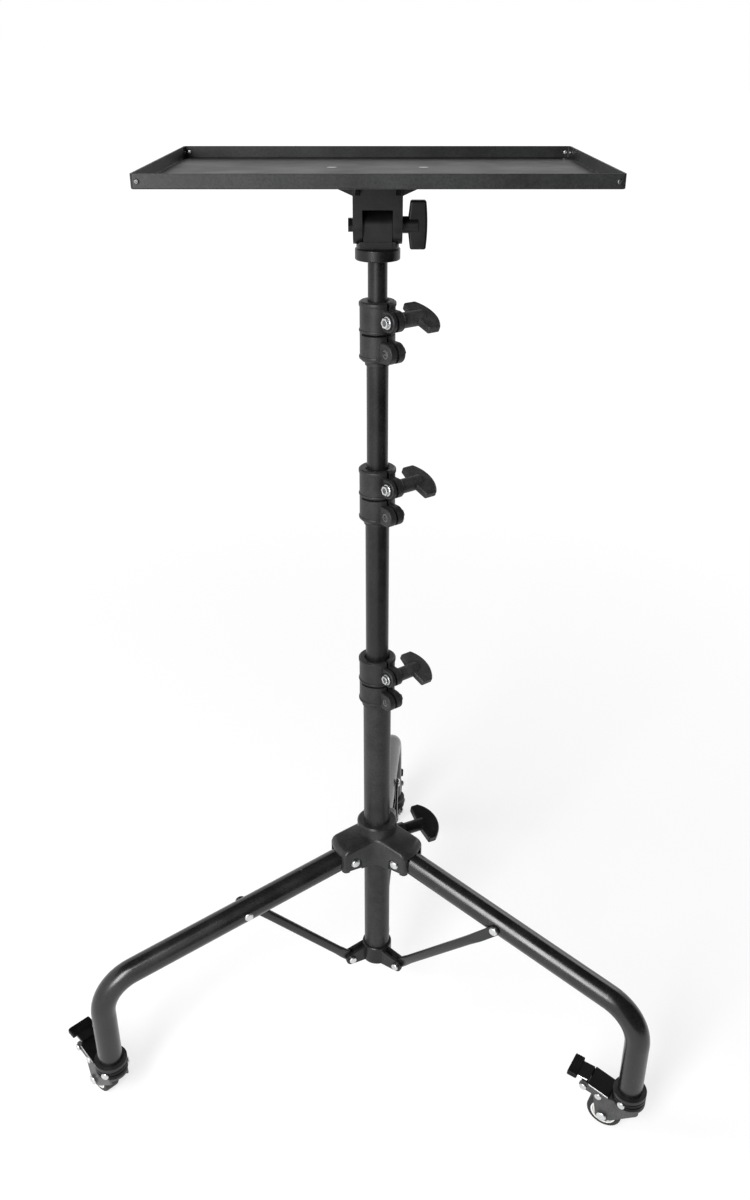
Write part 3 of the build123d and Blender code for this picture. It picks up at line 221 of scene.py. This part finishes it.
COLLAR_AZIMUTH = math.radians(-53.0)
COLLAR_SIZES = {"lower": (35.5, 416.0), "middle": (33.0, 614.5), "upper": (31.0, 764.0)}
EAR_BOLT_OUT = 5.5
UPPER_EAR = 40.0
LOWER_EAR = 13.5
NUT_SEAT = -5.5
STEM_RADIUS = 3.0
SOCKET_RADIUS = 2.7
BEAD = 0.7
BEAD_ROOT = 0.3
BEAD_STEPS = 60
BEAD_SHARP_ANGLE = math.radians(50.0)
HALF_SPLIT = 7.0
HALF_EARS = 42.0
# Each raised band: its lower edge, its upper edge, and half of its opening in degrees
BEAD_BANDS = ((50.4, 54.1, HALF_SPLIT), (29.0, 31.2, HALF_SPLIT), (5.8, 8.6, HALF_EARS))
MOULDED_EDGE = 0.5
BOLT_EDGE = 0.25


def by_collar(level, out, across, up):
    """Point on one collar, in millimetres: out to the bolts, across to the knob, up."""
    c, s = math.cos(COLLAR_AZIMUTH), math.sin(COLLAR_AZIMUTH)
    return Vector((out * c - across * s, out * s + across * c, COLLAR_SIZES[level][1] + up))


def refinish(piece, finish, chosen):
    """Give a second finish to the faces that a test chooses by their middle, in millimetres."""
    piece.data.materials.append(finish)
    for face in piece.data.polygons:
        if chosen(face.center / MM):
            face.material_index = len(piece.data.materials) - 1


def off_bolt(level, up):
    """Test of how far a point is from a bolt's axis on one collar."""
    middle = by_collar(level, COLLAR_SIZES[level][0] / 2 + EAR_BOLT_OUT, 0, up)
    axis = by_collar(level, 0, 1, 0) - by_collar(level, 0, 0, 0)
    return lambda point: (point - middle).cross(axis).length


def built(form, name, finish):
    """Piece with one finish, from a mesh made here."""
    bmesh.ops.recalc_face_normals(form, faces=form.faces)
    mesh = bpy.data.meshes.new(name)
    form.to_mesh(mesh)
    form.free()
    mesh.materials.append(finish)
    piece = bpy.data.objects.new(name, mesh)
    bpy.context.collection.objects.link(piece)
    return piece


def collar_beads(level):
    """Raised bands moulded round a collar, open at its split and its ears."""
    body = COLLAR_SIZES[level][0] / 2
    form = bmesh.new()
    for low, high, half_gap in BEAD_BANDS:
        section = [
            (body - BEAD_ROOT, low),
            (body + BEAD * 0.7, low + BEAD * 0.3),
            (body + BEAD, low + BEAD),
            (body + BEAD, high - BEAD),
            (body + BEAD * 0.7, high - BEAD * 0.3),
            (body - BEAD_ROOT, high),
        ]
        loops = []
        for i in range(BEAD_STEPS + 1):
            turn = math.radians(half_gap + (360.0 - 2 * half_gap) * i / BEAD_STEPS)
            loops.append(
                [
                    form.verts.new(by_collar(level, r * math.cos(turn), r * math.sin(turn), z) * MM)
                    for r, z in section
                ]
            )
        for one, two in zip(loops, loops[1:]):
            for i in range(len(section)):
                j = (i + 1) % len(section)
                form.faces.new((one[i], one[j], two[j], two[i])).smooth = True
        form.faces.new(loops[0])
        form.faces.new(loops[-1])
    piece = built(form, f"{level}_collar_beads", nylon)
    piece.data.set_sharp_from_angle(angle=BEAD_SHARP_ANGLE)
    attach(piece, home[f"{level}_collar"])


RECESS_TAPER = 0.9
HEAD_SHARP_ANGLE = math.radians(38.0)


def turned_head(name, profile, recess=None, steps=32, bore=False):
    """Round head of unit diameter on its axis, its middle sunk to a recess or bored where asked."""
    form = bmesh.new()
    turns = [math.tau * i / steps for i in range(steps)]
    rings = [[(r, z)] * steps for r, z in profile]
    if recess:
        shape, depth = recess
        top = profile[-1][1]
        edge = [shape(turn) for turn in turns]
        rings += [[(r, top) for r in edge], [(r * RECESS_TAPER, top - depth) for r in edge]]
    loops = [
        [
            form.verts.new((r * math.cos(turn), r * math.sin(turn), z))
            for turn, (r, z) in zip(turns, ring)
        ]
        for ring in rings
    ]
    for low, high in zip(loops, loops[1:] + loops[:1] if bore else loops[1:]):
        for i in range(steps):
            j = (i + 1) % steps
            form.faces.new((low[i], low[j], high[j], high[i])).smooth = True
    if not bore:
        form.faces.new(loops[-1])
        form.faces.new(list(reversed(loops[0])))
    bmesh.ops.recalc_face_normals(form, faces=form.faces)
    mesh = bpy.data.meshes.new(name)
    form.to_mesh(mesh)
    form.free()
    mesh.set_sharp_from_angle(angle=HEAD_SHARP_ANGLE)
    return bpy.data.objects.new(name, mesh)


def fastener_tree():
    """Node tree that sets a head on each point, along the point's own axis."""
    tree = bpy.data.node_groups.new("heads_at_points", "GeometryNodeTree")
    for label, kind in (
        ("Points", "Geometry"),
        ("Head", "Object"),
        ("Diameter", "Float"),
        ("Seed", "Int"),
        ("Finish", "Material"),
    ):
        tree.interface.new_socket(label, in_out="INPUT", socket_type=f"NodeSocket{kind}")
    tree.interface.new_socket("Heads", in_out="OUTPUT", socket_type="NodeSocketGeometry")
    given = add_node(tree, "NodeGroupInput").outputs
    head = add_node(tree, "GeometryNodeObjectInfo", {"Object": given["Head"]}).outputs["Geometry"]
    axis = add_node(
        tree, "GeometryNodeInputNamedAttribute", {"Name": "axis"}, data_type="FLOAT_VECTOR"
    ).outputs["Attribute"]
    upright = add_node(
        tree, "FunctionNodeAlignRotationToVector", {"Vector": axis}, axis="Z"
    ).outputs[0]
    turn = add_node(
        tree, "FunctionNodeRandomValue", {2: 0.0, 3: math.tau, "Seed": given["Seed"]}
    ).outputs[1]
    spin = add_node(tree, "FunctionNodeAxisAngleToRotation", {"Angle": turn}).outputs[0]
    lie = add_node(
        tree, "FunctionNodeRotateRotation", {0: upright, 1: spin}, rotation_space="LOCAL"
    ).outputs[0]
    heads = add_node(
        tree,
        "GeometryNodeInstanceOnPoints",
        {"Points": given["Points"], "Instance": head, "Rotation": lie, "Scale": given["Diameter"]},
    ).outputs[0]
    real = add_node(tree, "GeometryNodeRealizeInstances", {0: heads}).outputs[0]
    done = add_node(
        tree, "GeometryNodeSetMaterial", {"Geometry": real, "Material": given["Finish"]}
    ).outputs[0]
    add_node(tree, "NodeGroupOutput", {"Heads": done})
    return tree


heads_at_points = fastener_tree()
SPIN_SEED = 7


def fasteners(name, body, head, diameter, places, finish=zinc):
    """Row of like heads on one body; each place is a point and an axis, in millimetres."""
    mesh = bpy.data.meshes.new(name)
    mesh.from_pydata([Vector(point) * MM for point, _ in places], [], [])
    axes = mesh.attributes.new("axis", "FLOAT_VECTOR", "POINT")
    for i, (_, axis) in enumerate(places):
        axes.data[i].vector = axis
    piece = bpy.data.objects.new(name, mesh)
    bpy.context.collection.objects.link(piece)
    rows = piece.modifiers.new("heads", "NODES")
    rows.node_group = heads_at_points
    values = {"Head": head, "Diameter": diameter * MM, "Seed": SPIN_SEED, "Finish": finish}
    for item in heads_at_points.interface.items_tree:
        if item.in_out == "INPUT" and item.name in values:
            rows[item.identifier] = values[item.name]
    graph = bpy.context.evaluated_depsgraph_get()
    piece.data = bpy.data.meshes.new_from_object(piece.evaluated_get(graph))
    piece.modifiers.clear()
    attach(piece, body)
    return piece


# Flange under each wing bolt's nut, with a dark ring behind it: painted shade in the recess round
# the flange
ring_profile = [(0.4, 0.0), (0.49, 0.0), (0.5, 0.015), (0.5, 0.06), (0.485, 0.085), (0.4, 0.1)]
nut_ring = turned_head("nut_ring", ring_profile, steps=36, bore=True)
FLANGE_D = 11.0
PAINTED_SHADE_RING_D = 13.6
PAINTED_SHADE_RING_BACK = 0.5
for level in COLLAR_SIZES:
    softened(f"{level}_collar", MOULDED_EDGE, nylon)
    collar_beads(level)
    from_upper = off_bolt(level, UPPER_EAR)
    from_lower = off_bolt(level, LOWER_EAR)
    # The knobs' paler grey is painted light on their faces
    knob = softened(f"{level}_collar_knob", MOULDED_EDGE, wing_painted_light_nylon)
    refinish(knob, plain_steel, lambda point: from_upper(point) < STEM_RADIUS)
    bolts = softened(f"{level}_collar_bolts", BOLT_EDGE, zinc)
    refinish(bolts, plain_steel, lambda point: from_lower(point) < SOCKET_RADIUS)
    # A dark ring round the lower screw's socket is painted shade, the gap round its head in the
    # recess
    refinish(bolts, oxide_and_painted_shade, lambda point: SOCKET_RADIUS < from_lower(point) < 2 * SOCKET_RADIUS)
    seat = by_collar(level, COLLAR_SIZES[level][0] / 2 + EAR_BOLT_OUT, NUT_SEAT, UPPER_EAR)
    facing = by_collar(level, 0, 0, 0) - by_collar(level, 0, 1, 0)
    collar_body = home[f"{level}_collar"]
    fasteners(f"{level}_nut_flange", collar_body, nut_ring, FLANGE_D, [(seat, facing)])
    # The dark ring is painted shade, the shadow in the recess behind the flange
    recess = [(seat - PAINTED_SHADE_RING_BACK * facing, facing)]
    shade_ring_name = f"{level}_nut_recess_ring"
    fasteners(shade_ring_name, collar_body, nut_ring, PAINTED_SHADE_RING_D, recess, oxide_and_painted_shade)


# Tilting head and tray bracket: two nylon mouldings that hinge on one bolt.
# A wing knob draws the ears tight on the knuckle, and a hexagon nut holds the far end.
TILT_AXIS = 880.0
TILT_STEM_RADIUS = 3.4
HEAD_EDGE = 0.6
# The head and the bracket take the blacker nylon as painted shade, the tray's shadow over them
softened("head_base", HEAD_EDGE, knob_and_painted_shade_nylon)
softened("tray_bracket", HEAD_EDGE, knob_and_painted_shade_nylon)
knob = softened("tilt_knob", MOULDED_EDGE, knob_and_painted_shade_nylon)
refinish(knob, zinc, lambda point: math.hypot(point.y, point.z - TILT_AXIS) < TILT_STEM_RADIUS)
dress(oxide_and_painted_shade, "tilt_nut")

# A thin wall between the ears, behind the knuckle, put there as painted shade: a dark sheet that
# keeps the slot round the knuckle dark
WEB_HALF = 12.6
web_line = [(12.3, 6.0), (12.3, 16.0), (13.7, 16.0), (13.7, 7.0), (13.2, 6.0)]
form = bmesh.new()
ends = [
    [form.verts.new(Vector((x, y, TILT_AXIS + z)) * MM) for y, z in web_line]
    for x in (-WEB_HALF, WEB_HALF)
]
for i in range(len(web_line)):
    j = (i + 1) % len(web_line)
    form.faces.new((ends[0][i], ends[0][j], ends[1][j], ends[1][i]))
form.faces.new(ends[0])
form.faces.new(ends[1])
painted_shade_web = built(form, "bracket_rear_web", knob_and_painted_shade_nylon)
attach(painted_shade_web, "tray")

# Two nylon washers that take up the play beside the head's knuckle
shim_profile = [(0.13, 0.0), (0.497, 0.0), (0.5, 0.003)]
shim_profile += [(0.5, 0.009), (0.497, 0.012), (0.13, 0.012)]
shim = turned_head("shim", shim_profile, steps=48, bore=True)
KNUCKLE_SIDE = 11.86
WASHER_D = 29.0
fasteners(
    "knuckle_washers",
    "top_section",
    shim,
    WASHER_D,
    [((side * KNUCKLE_SIDE, 0, TILT_AXIS), (side, 0, 0)) for side in (-1, 1)],
    knob_and_painted_shade_nylon,
)


# Tray: one steel sheet folded up at its four sides and powder coated.
# A small screw holds each front corner, and two rivets each rear one.
tray_coat = grained_finish(
    "fine_black_powder_coat", "#19191a", "#292a2a", 1.4, 40.0, 0.42, 0.3
)
SHEET_EDGE = 0.35
softened("tray_pan", SHEET_EDGE, tray_coat)
dress(zinc, "tray_screws")


def cross_recess(angle, arm=0.26, half=0.06):
    """Edge of a cross-shaped driver recess at an angle, in head diameters."""
    a, b = sorted((abs(math.cos(angle)), abs(math.sin(angle))))
    return min(arm / b, half / max(a, 1e-6))


pan_profile = [(0.5, 0.0), (0.5, 0.1), (0.47, 0.2), (0.4, 0.27), (0.3, 0.3)]
pan_head = turned_head("pan_head", pan_profile, recess=(cross_recess, 0.16), steps=48)
dome_profile = [(0.5, 0.0), (0.5, 0.05), (0.47, 0.12), (0.4, 0.16), (0.28, 0.185), (0.12, 0.195)]
rivet_head = turned_head("rivet_head", dome_profile, steps=28)

tray_low, tray_high = (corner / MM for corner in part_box("tray_pan"))
rim_mid = (tray_low.z + tray_high.z) / 2
SCREW_IN = 5.0
SCREW_D = 3.8
RIM_WALL = 1.4
front_screws = [
    ((side * (tray_high.x - SCREW_IN), tray_low.y, rim_mid), (0, -1, 0)) for side in (-1, 1)
]
fasteners("tray_corner_screws", "tray", pan_head, SCREW_D, front_screws, plain_steel)
rear_rivets = []
for side in (-1, 1):
    across = side * (tray_high.x - SCREW_IN)
    rear_rivets += [
        ((across, tray_high.y - RIM_WALL, rim_mid), (0, -1, 0)),
        ((across, tray_high.y, rim_mid), (0, 1, 0)),
        ((side * (tray_high.x - RIM_WALL), tray_high.y - SCREW_IN, rim_mid), (-side, 0, 0)),
        ((side * tray_high.x, tray_high.y - SCREW_IN, rim_mid), (side, 0, 0)),
        ((across, tray_low.y + RIM_WALL, rim_mid), (0, 1, 0)),
    ]
fasteners("tray_corner_rivets", "tray", rivet_head, SCREW_D, rear_rivets)


# Leg hub: a nylon sleeve on the base tube with three roofed arms for the legs.
# Each leg turns on a zinc pin, headed over at both sides of its arm.
LEG_AZIMUTHS = {"rear": 85.9, "left": 205.9, "right": 325.9}
LEG_PIN = (34.0, 231.5)
LEG_PIN_ENDS = (18.0, -18.0)
LEG_PIN_HEAD_D = 9.0


def by_leg(side, out, over, up):
    """Point beside one leg, in millimetres: out from the column, over to the brace, up."""
    a = math.radians(LEG_AZIMUTHS[side])
    c, s = math.cos(a), math.sin(a)
    return Vector((out * c + over * s, out * s - over * c, up))


def headed_pins(name, body, diameter, out, up, near, far, sides):
    """Domed rivet heads at both ends of a pin across each leg."""
    places = []
    for side in sides:
        axis = by_leg(side, 0, 1, 0)
        places += [(by_leg(side, out, near, up), axis), (by_leg(side, out, far, up), -axis)]
    return fasteners(name, body, rivet_head, diameter, places)


# The same nylon from a smoother mould: its long rounded edges catch the light. Its paler tone is
# painted sheen, the light its roofs reflect from above
hub_nylon_painted_sheen = grained_finish("satin_nylon_painted_sheen", "#1d1d1e", "#323233", 1.4, 20.0, 0.34, 0.15)
dress(hub_nylon_painted_sheen, "leg_hub")
softened("hub_knob", MOULDED_EDGE, knob_and_painted_shade_nylon)
dress(zinc, "leg_pins")
headed_pins("leg_pin_heads", "leg_hub", LEG_PIN_HEAD_D, *LEG_PIN, *LEG_PIN_ENDS, LEG_AZIMUTHS)


# Ring at the column's foot: a powder-coated steel cup with three pairs of ears.
# A zinc rivet in each pair carries the foot of a brace.
BRACE_FOOT = (32.0, 77.0)
BRACE_PIN_ENDS = (11.3, -3.3)
BRACE_PIN_HEAD_D = 8.4
RING_EDGE = 0.4
softened("brace_ring", RING_EDGE, tube_coat)
dress(zinc, "brace_pins")
headed_pins(
    "brace_pin_heads", "base_column", BRACE_PIN_HEAD_D, *BRACE_FOOT, *BRACE_PIN_ENDS, LEG_AZIMUTHS
)


# Legs: bent steel tubes with the same coat, laid smoother on the long runs.
# A rivet through each leg holds the flat upper end of its brace.
leg_coat = grained_finish(
    "smooth_black_powder_coat",
    "#101011",
    "#1f1f20",
    1.8,
    30.0,
    0.25,
    0.01,
    scuff="#5a5a58",
    **{"Specular IOR Level": 0.5},
)

BRACE_TOP = (154.7, 200.96)
BRACE_TOP_ENDS = (15.7, -12.3)
BRACE_RIVET_D = 9.4
BRACE_END = 5.8
FOOT_HALF, FOOT_OVER = 2.3, 4.0
PADDLE_HALF, PADDLE_OVER = 1.3, 14.4
BRACE_POINTS = 28
SQUARENESS = 0.2


def flattened_tube(side):
    """Brace of small tube, pressed flat at both ends where the rivets go through."""
    run = Vector(BRACE_TOP) - Vector(BRACE_FOOT)
    length = run.length
    along = run / length
    stations = [
        # distance, half width, half thickness, middle over to the side
        (0.0, BRACE_END, FOOT_HALF, FOOT_OVER),
        (11.0, BRACE_END, FOOT_HALF, 4.1),
        (16.0, 5.6, 2.9, 4.4),
        (22.0, 5.2, 3.6, 4.8),
        (length - 42.0, 5.2, 3.6, 12.9),
        (length - 34.0, 5.4, 2.7, 13.6),
        (length - 25.0, BRACE_END, PADDLE_HALF, PADDLE_OVER),
        (length, BRACE_END, PADDLE_HALF, PADDLE_OVER),
    ]
    caps = [math.radians(turn) for turn in (80, 65, 50, 35, 20)]
    rows = [(-BRACE_END * math.sin(t), BRACE_END * math.cos(t), FOOT_HALF, FOOT_OVER) for t in caps]
    rows += stations
    rows += [
        (length + BRACE_END * math.sin(t), BRACE_END * math.cos(t), PADDLE_HALF, PADDLE_OVER)
        for t in reversed(caps)
    ]
    form = bmesh.new()
    loops = []
    for s, half_width, half_depth, over in rows:
        squareness = half_depth / half_width + SQUARENESS
        loop = []
        for i in range(BRACE_POINTS):
            turn = math.tau * i / BRACE_POINTS
            c, d = math.cos(turn), math.sin(turn)
            v = half_width * math.copysign(abs(c) ** squareness, c)
            w = half_depth * math.copysign(abs(d) ** squareness, d)
            out = BRACE_FOOT[0] + along.x * s - along.y * v
            up = BRACE_FOOT[1] + along.y * s + along.x * v
            loop.append(form.verts.new(by_leg(side, out, over + w, up) * MM))
        loops.append(loop)
    for one, two in zip(loops, loops[1:]):
        for i in range(BRACE_POINTS):
            j = (i + 1) % BRACE_POINTS
            form.faces.new((one[i], one[j], two[j], two[i])).smooth = True
    form.faces.new(loops[0])
    form.faces.new(loops[-1])
    piece = built(form, f"{side}_brace.tube", leg_coat)
    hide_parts(f"{side}_brace")
    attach(piece, f"{side}_brace")


for side in LEG_AZIMUTHS:
    dress(leg_coat, f"{side}_leg_tube")
    dress(nylon, f"{side}_leg_socket")
    flattened_tube(side)
    headed_pins(
        f"{side}_brace_rivet", f"{side}_leg", BRACE_RIVET_D, *BRACE_TOP, *BRACE_TOP_ENDS, [side]
    )


# Casters: a nylon housing turns on a stem, with a pressed steel fork riveted below it.
# A black cover runs back to the brake pedal, and the wheel has a pale core and a black tyre.
CASTER_AZIMUTHS = {"rear": 86.0, "left": 135.0, "right": 149.0}
LEG_REACH = 313.0
AXLE = (22.0, 18.5)
PEDAL_PIN = (45.0, 49.0)
COVER_RIVET = (28.5, 42.0)
COVER_LINE = [(18.2, 47.5), (32.0, 51.7), (39.5, 54.0)]
PEDAL_LINE = [(42.5, 55.4), (53.0, 56.4)]
COVER_FLANK = (11.8, 12.5)
PEDAL_FLANK = (8.7, 9.6)
STRIP_HALF = 0.8
STRIP_BEVEL = 0.2
CASTER_EDGE = 0.4
AXLE_HEAD_D = 10.5
FORK_RIVET_D = 7.6
HOUSING_RIVET_D = 8.2
HOUSING_RIVET_UP = 51.2
PLATE_SIDE = 11.45
HEAD_SIDE = 13.35
HOUSING_RADIUS = 17.0
HOUSING_RIVET_TURNS = {"rear": 80.0, "left": 124.0, "right": 80.0}
# Nylon of the housing, cover and pedal: a full black with hardly any sheen
caster_nylon = grained_finish(
    "matt_black_nylon", "#060606", "#0f0f10", 1.2, 15.0, 0.45, 0.2, **{"Specular IOR Level": 0.14}
)
# Painted steel: dark neutral grey, plainly paler than the black mouldings round it
fork_paint = grained_finish("grey_painted_steel", "#343434", "#4a4a4a", 1.4, 12.0, 0.42, 0.2)
# Pale nylon: off-white and dull, the one light piece of the caster
core_nylon = grained_finish("pale_grey_nylon", "#cfcfcb", "#e4e4e0", 1.2, 14.0, 0.45, 0.15)
# Polyurethane tyre: black and matt, a little greyed on the tread
tyre_rubber = grained_finish("black_polyurethane", "#1a1a1a", "#2b2b2b", 1.5, 10.0, 0.6, 0.3)


def by_caster(side, along, across, up):
    """Point on one caster, in millimetres: back along the trail, to its left, up."""
    a = math.radians(LEG_AZIMUTHS[side])
    t = math.radians(CASTER_AZIMUTHS[side])
    return Vector(
        (
            LEG_REACH * math.cos(a) + along * math.cos(t) - across * math.sin(t),
            LEG_REACH * math.sin(a) + along * math.sin(t) + across * math.cos(t),
            up,
        )
    )


def painted_highlight_strips(name, body, side, line, inner, outer):
    """Thin zinc strips along both flanks of a caster piece: painted highlights on its edges."""
    form = bmesh.new()
    for hand in (1, -1):
        loops = []
        for along, up in line:
            section = [
                (inner, up - STRIP_HALF),
                (outer - STRIP_BEVEL, up - STRIP_HALF),
                (outer, up - STRIP_HALF + STRIP_BEVEL),
                (outer, up + STRIP_HALF - STRIP_BEVEL),
                (outer - STRIP_BEVEL, up + STRIP_HALF),
                (inner, up + STRIP_HALF),
            ]
            loops.append(
                [form.verts.new(by_caster(side, along, hand * w, z) * MM) for w, z in section]
            )
        for low, high in zip(loops, loops[1:]):
            for i in range(len(low)):
                j = (i + 1) % len(low)
                form.faces.new((low[i], low[j], high[j], high[i]))
        form.faces.new(loops[0])
        form.faces.new(loops[-1])
    piece = built(form, name, zinc)
    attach(piece, body)
    return piece


for side in CASTER_AZIMUTHS:
    flank = by_caster(side, 0, 1, 0) - by_caster(side, 0, 0, 0)
    softened(f"{side}_caster_fork", CASTER_EDGE, fork_paint)
    softened(f"{side}_caster_head", CASTER_EDGE, caster_nylon)
    softened(f"{side}_caster_cover", CASTER_EDGE, caster_nylon)
    softened(f"{side}_brake_pedal", CASTER_EDGE, caster_nylon)
    dress(core_nylon, f"{side}_wheel_core")
    dress(tyre_rubber, f"{side}_wheel_tyre")
    big, small, round_head = [], [], []
    for hand in (1, -1):
        big.append((by_caster(side, AXLE[0], hand * HEAD_SIDE, AXLE[1]), hand * flank))
        for (along, up), out in ((PEDAL_PIN, HEAD_SIDE), (COVER_RIVET, PLATE_SIDE)):
            small.append((by_caster(side, along, hand * out, up), hand * flank))
        turn = math.radians(HOUSING_RIVET_TURNS[side])
        rim = (HOUSING_RADIUS * math.cos(turn), hand * HOUSING_RADIUS * math.sin(turn))
        outward = by_caster(side, *rim, 0) - by_caster(side, 0, 0, 0)
        round_head.append((by_caster(side, *rim, HOUSING_RIVET_UP), outward.normalized()))
    fasteners(f"{side}_axle_heads", f"{side}_caster", rivet_head, AXLE_HEAD_D, big)
    fasteners(f"{side}_fork_rivets", f"{side}_caster", rivet_head, FORK_RIVET_D, small)
    fasteners(f"{side}_housing_rivets", f"{side}_caster", rivet_head, HOUSING_RIVET_D, round_head)
    # Zinc strips along the cover's and the pedal's lower edges are painted highlights
    painted_highlight_strips(f"{side}_cover_strips", f"{side}_caster", side, COVER_LINE, *COVER_FLANK)
    painted_highlight_strips(f"{side}_pedal_strips", f"{side}_brake", side, PEDAL_LINE, *PEDAL_FLANK)


# Stage: a wide pale floor that fades to white, so that no horizon shows.
# It keeps the stand's soft shadow.
def shown_rays(tree):
    """One for the rays of the eye, of mirrors and of glass, and nought for the rest."""
    rays = add_node(tree, "ShaderNodeLightPath").outputs
    shown = rays["Is Camera Ray"]
    for kind in ("Is Glossy Ray", "Is Transmission Ray"):
        shown = add_node(
            tree, "ShaderNodeMath", {0: shown, 1: rays[kind]}, operation="MAXIMUM"
        ).outputs[0]
    return shown


FLOOR_HALF = 30.0
FADE_START, FADE_END = 0.5, 2.2
NEAR_GLOW = 0.62
PAPER_GLOW = 1.08
floor_mesh = bpy.data.meshes.new("floor")
floor_mesh.from_pydata(
    [(x * FLOOR_HALF, y * FLOOR_HALF, 0) for x, y in ((-1, -1), (1, -1), (1, 1), (-1, 1))],
    [],
    [(0, 1, 2, 3)],
)
floor = bpy.data.objects.new("floor", floor_mesh)
bpy.context.collection.objects.link(floor)
paper = bpy.data.materials.new("white_paper")
paper.use_nodes = True
tree = paper.node_tree
tree.nodes.clear()
place = add_node(tree, "ShaderNodeTexCoord").outputs["Object"]
away = add_node(tree, "ShaderNodeVectorMath", {0: place}, operation="LENGTH").outputs["Value"]
fade = add_node(
    tree,
    "ShaderNodeMapRange",
    {"Value": away, "From Min": FADE_START, "From Max": FADE_END, "To Min": NEAR_GLOW},
).outputs[0]
glow = add_node(
    tree, "ShaderNodeMath", {0: shown_rays(tree), 1: fade}, operation="MULTIPLY"
).outputs[0]
matt = add_node(tree, "ShaderNodeBsdfDiffuse", {"Color": linear("#fcfcfc")}).outputs[0]
white = add_node(
    tree, "ShaderNodeEmission", {"Color": (1, 1, 1, 1), "Strength": PAPER_GLOW}
).outputs[0]
mixed = add_node(tree, "ShaderNodeMixShader", {0: glow, 1: matt, 2: white}).outputs[0]
add_node(tree, "ShaderNodeOutputMaterial", {"Surface": mixed})
floor.data.materials.append(paper)

# Black cards, out of sight: one bent round the front right keeps that side of the tubes dark,
# one overhead keeps the upper sides of the legs dark, and one before the tray keeps the
# front lamp's mirror image off its floor.
SHIELD_SPAN = (-0.8, 0.4)
SHIELD_Y = -0.35
SHIELD_HEIGHTS = (0.935, 1.5)
CARD_TURNS = range(-84, 7, 15)
CARD_RADIUS = 0.85
CARD_FOOT = 0.02
CARD_TOP = 1.7
CEILING = 2.3
CEILING_HALF = 2.5
bends = [math.radians(turn) for turn in CARD_TURNS]
feet = [(CARD_RADIUS * math.cos(turn), CARD_RADIUS * math.sin(turn)) for turn in bends]
corners = [(x, y, z) for x, y in feet for z in (CARD_FOOT, CARD_TOP)]
panels = [(2 * i, 2 * i + 2, 2 * i + 3, 2 * i + 1) for i in range(len(feet) - 1)]
panels.append(tuple(range(len(corners), len(corners) + 4)))
corners += [
    (x * CEILING_HALF, y * CEILING_HALF, CEILING) for x, y in ((-1, -1), (-1, 1), (1, 1), (1, -1))
]
panels.append(tuple(range(len(corners), len(corners) + 4)))
left, right = SHIELD_SPAN
low, high = SHIELD_HEIGHTS
corners += [(x, SHIELD_Y, z) for x, z in ((left, low), (right, low), (right, high), (left, high))]
card_mesh = bpy.data.meshes.new("black_card")
card_mesh.from_pydata(corners, [], panels)
card = bpy.data.objects.new("black_card", card_mesh)
bpy.context.collection.objects.link(card)
felt = bpy.data.materials.new("black_felt")
felt.use_nodes = True
cloth = felt.node_tree.nodes["Principled BSDF"].inputs
cloth["Base Color"].default_value = linear("#0c0c0c")
cloth["Specular IOR Level"].default_value = 0.0
card.data.materials.append(felt)
card.visible_camera = False
card.visible_shadow = False
card.visible_diffuse = False


# Room: white all round to the eye, and a dim even light on the stand.
# Large soft lamps stand at the front left, at the left and behind.
DIM_LIGHT = 0.3
world = bpy.data.worlds.new("studio")
bpy.context.scene.world = world
world.use_nodes = True
tree = world.node_tree
tree.nodes.clear()
strength = add_node(
    tree, "ShaderNodeMapRange", {"Value": shown_rays(tree), "To Min": DIM_LIGHT}
).outputs[0]
sky = add_node(
    tree, "ShaderNodeBackground", {"Color": (1, 1, 1, 1), "Strength": strength}
).outputs[0]
add_node(tree, "ShaderNodeOutputWorld", {"Surface": sky})

for label, spot, aim, size, power in (
    ("key_lamp", (-0.75, -1.5, 1.3), (0, 0, 0.4), (0.6, 1.3), 44.0),
    ("side_lamp", (-1.9, -0.1, 1.3), (0, 0, 0.5), (0.9, 0.9), 16.0),
    ("back_lamp", (1.4, 1.5, 1.3), (0, 0, 0.5), (0.9, 0.9), 6.0),
):
    lamp = bpy.data.lights.new(label, "AREA")
    lamp.shape = "RECTANGLE"
    lamp.size, lamp.size_y = size
    lamp.energy = power
    holder = bpy.data.objects.new(label, lamp)
    bpy.context.collection.objects.link(holder)
    holder.location = spot
    holder.rotation_euler = (Vector(aim) - Vector(spot)).to_track_quat("-Z", "Y").to_euler()
    holder.visible_glossy = label != "side_lamp"

bpy.context.scene.view_settings.view_transform = "Standard"
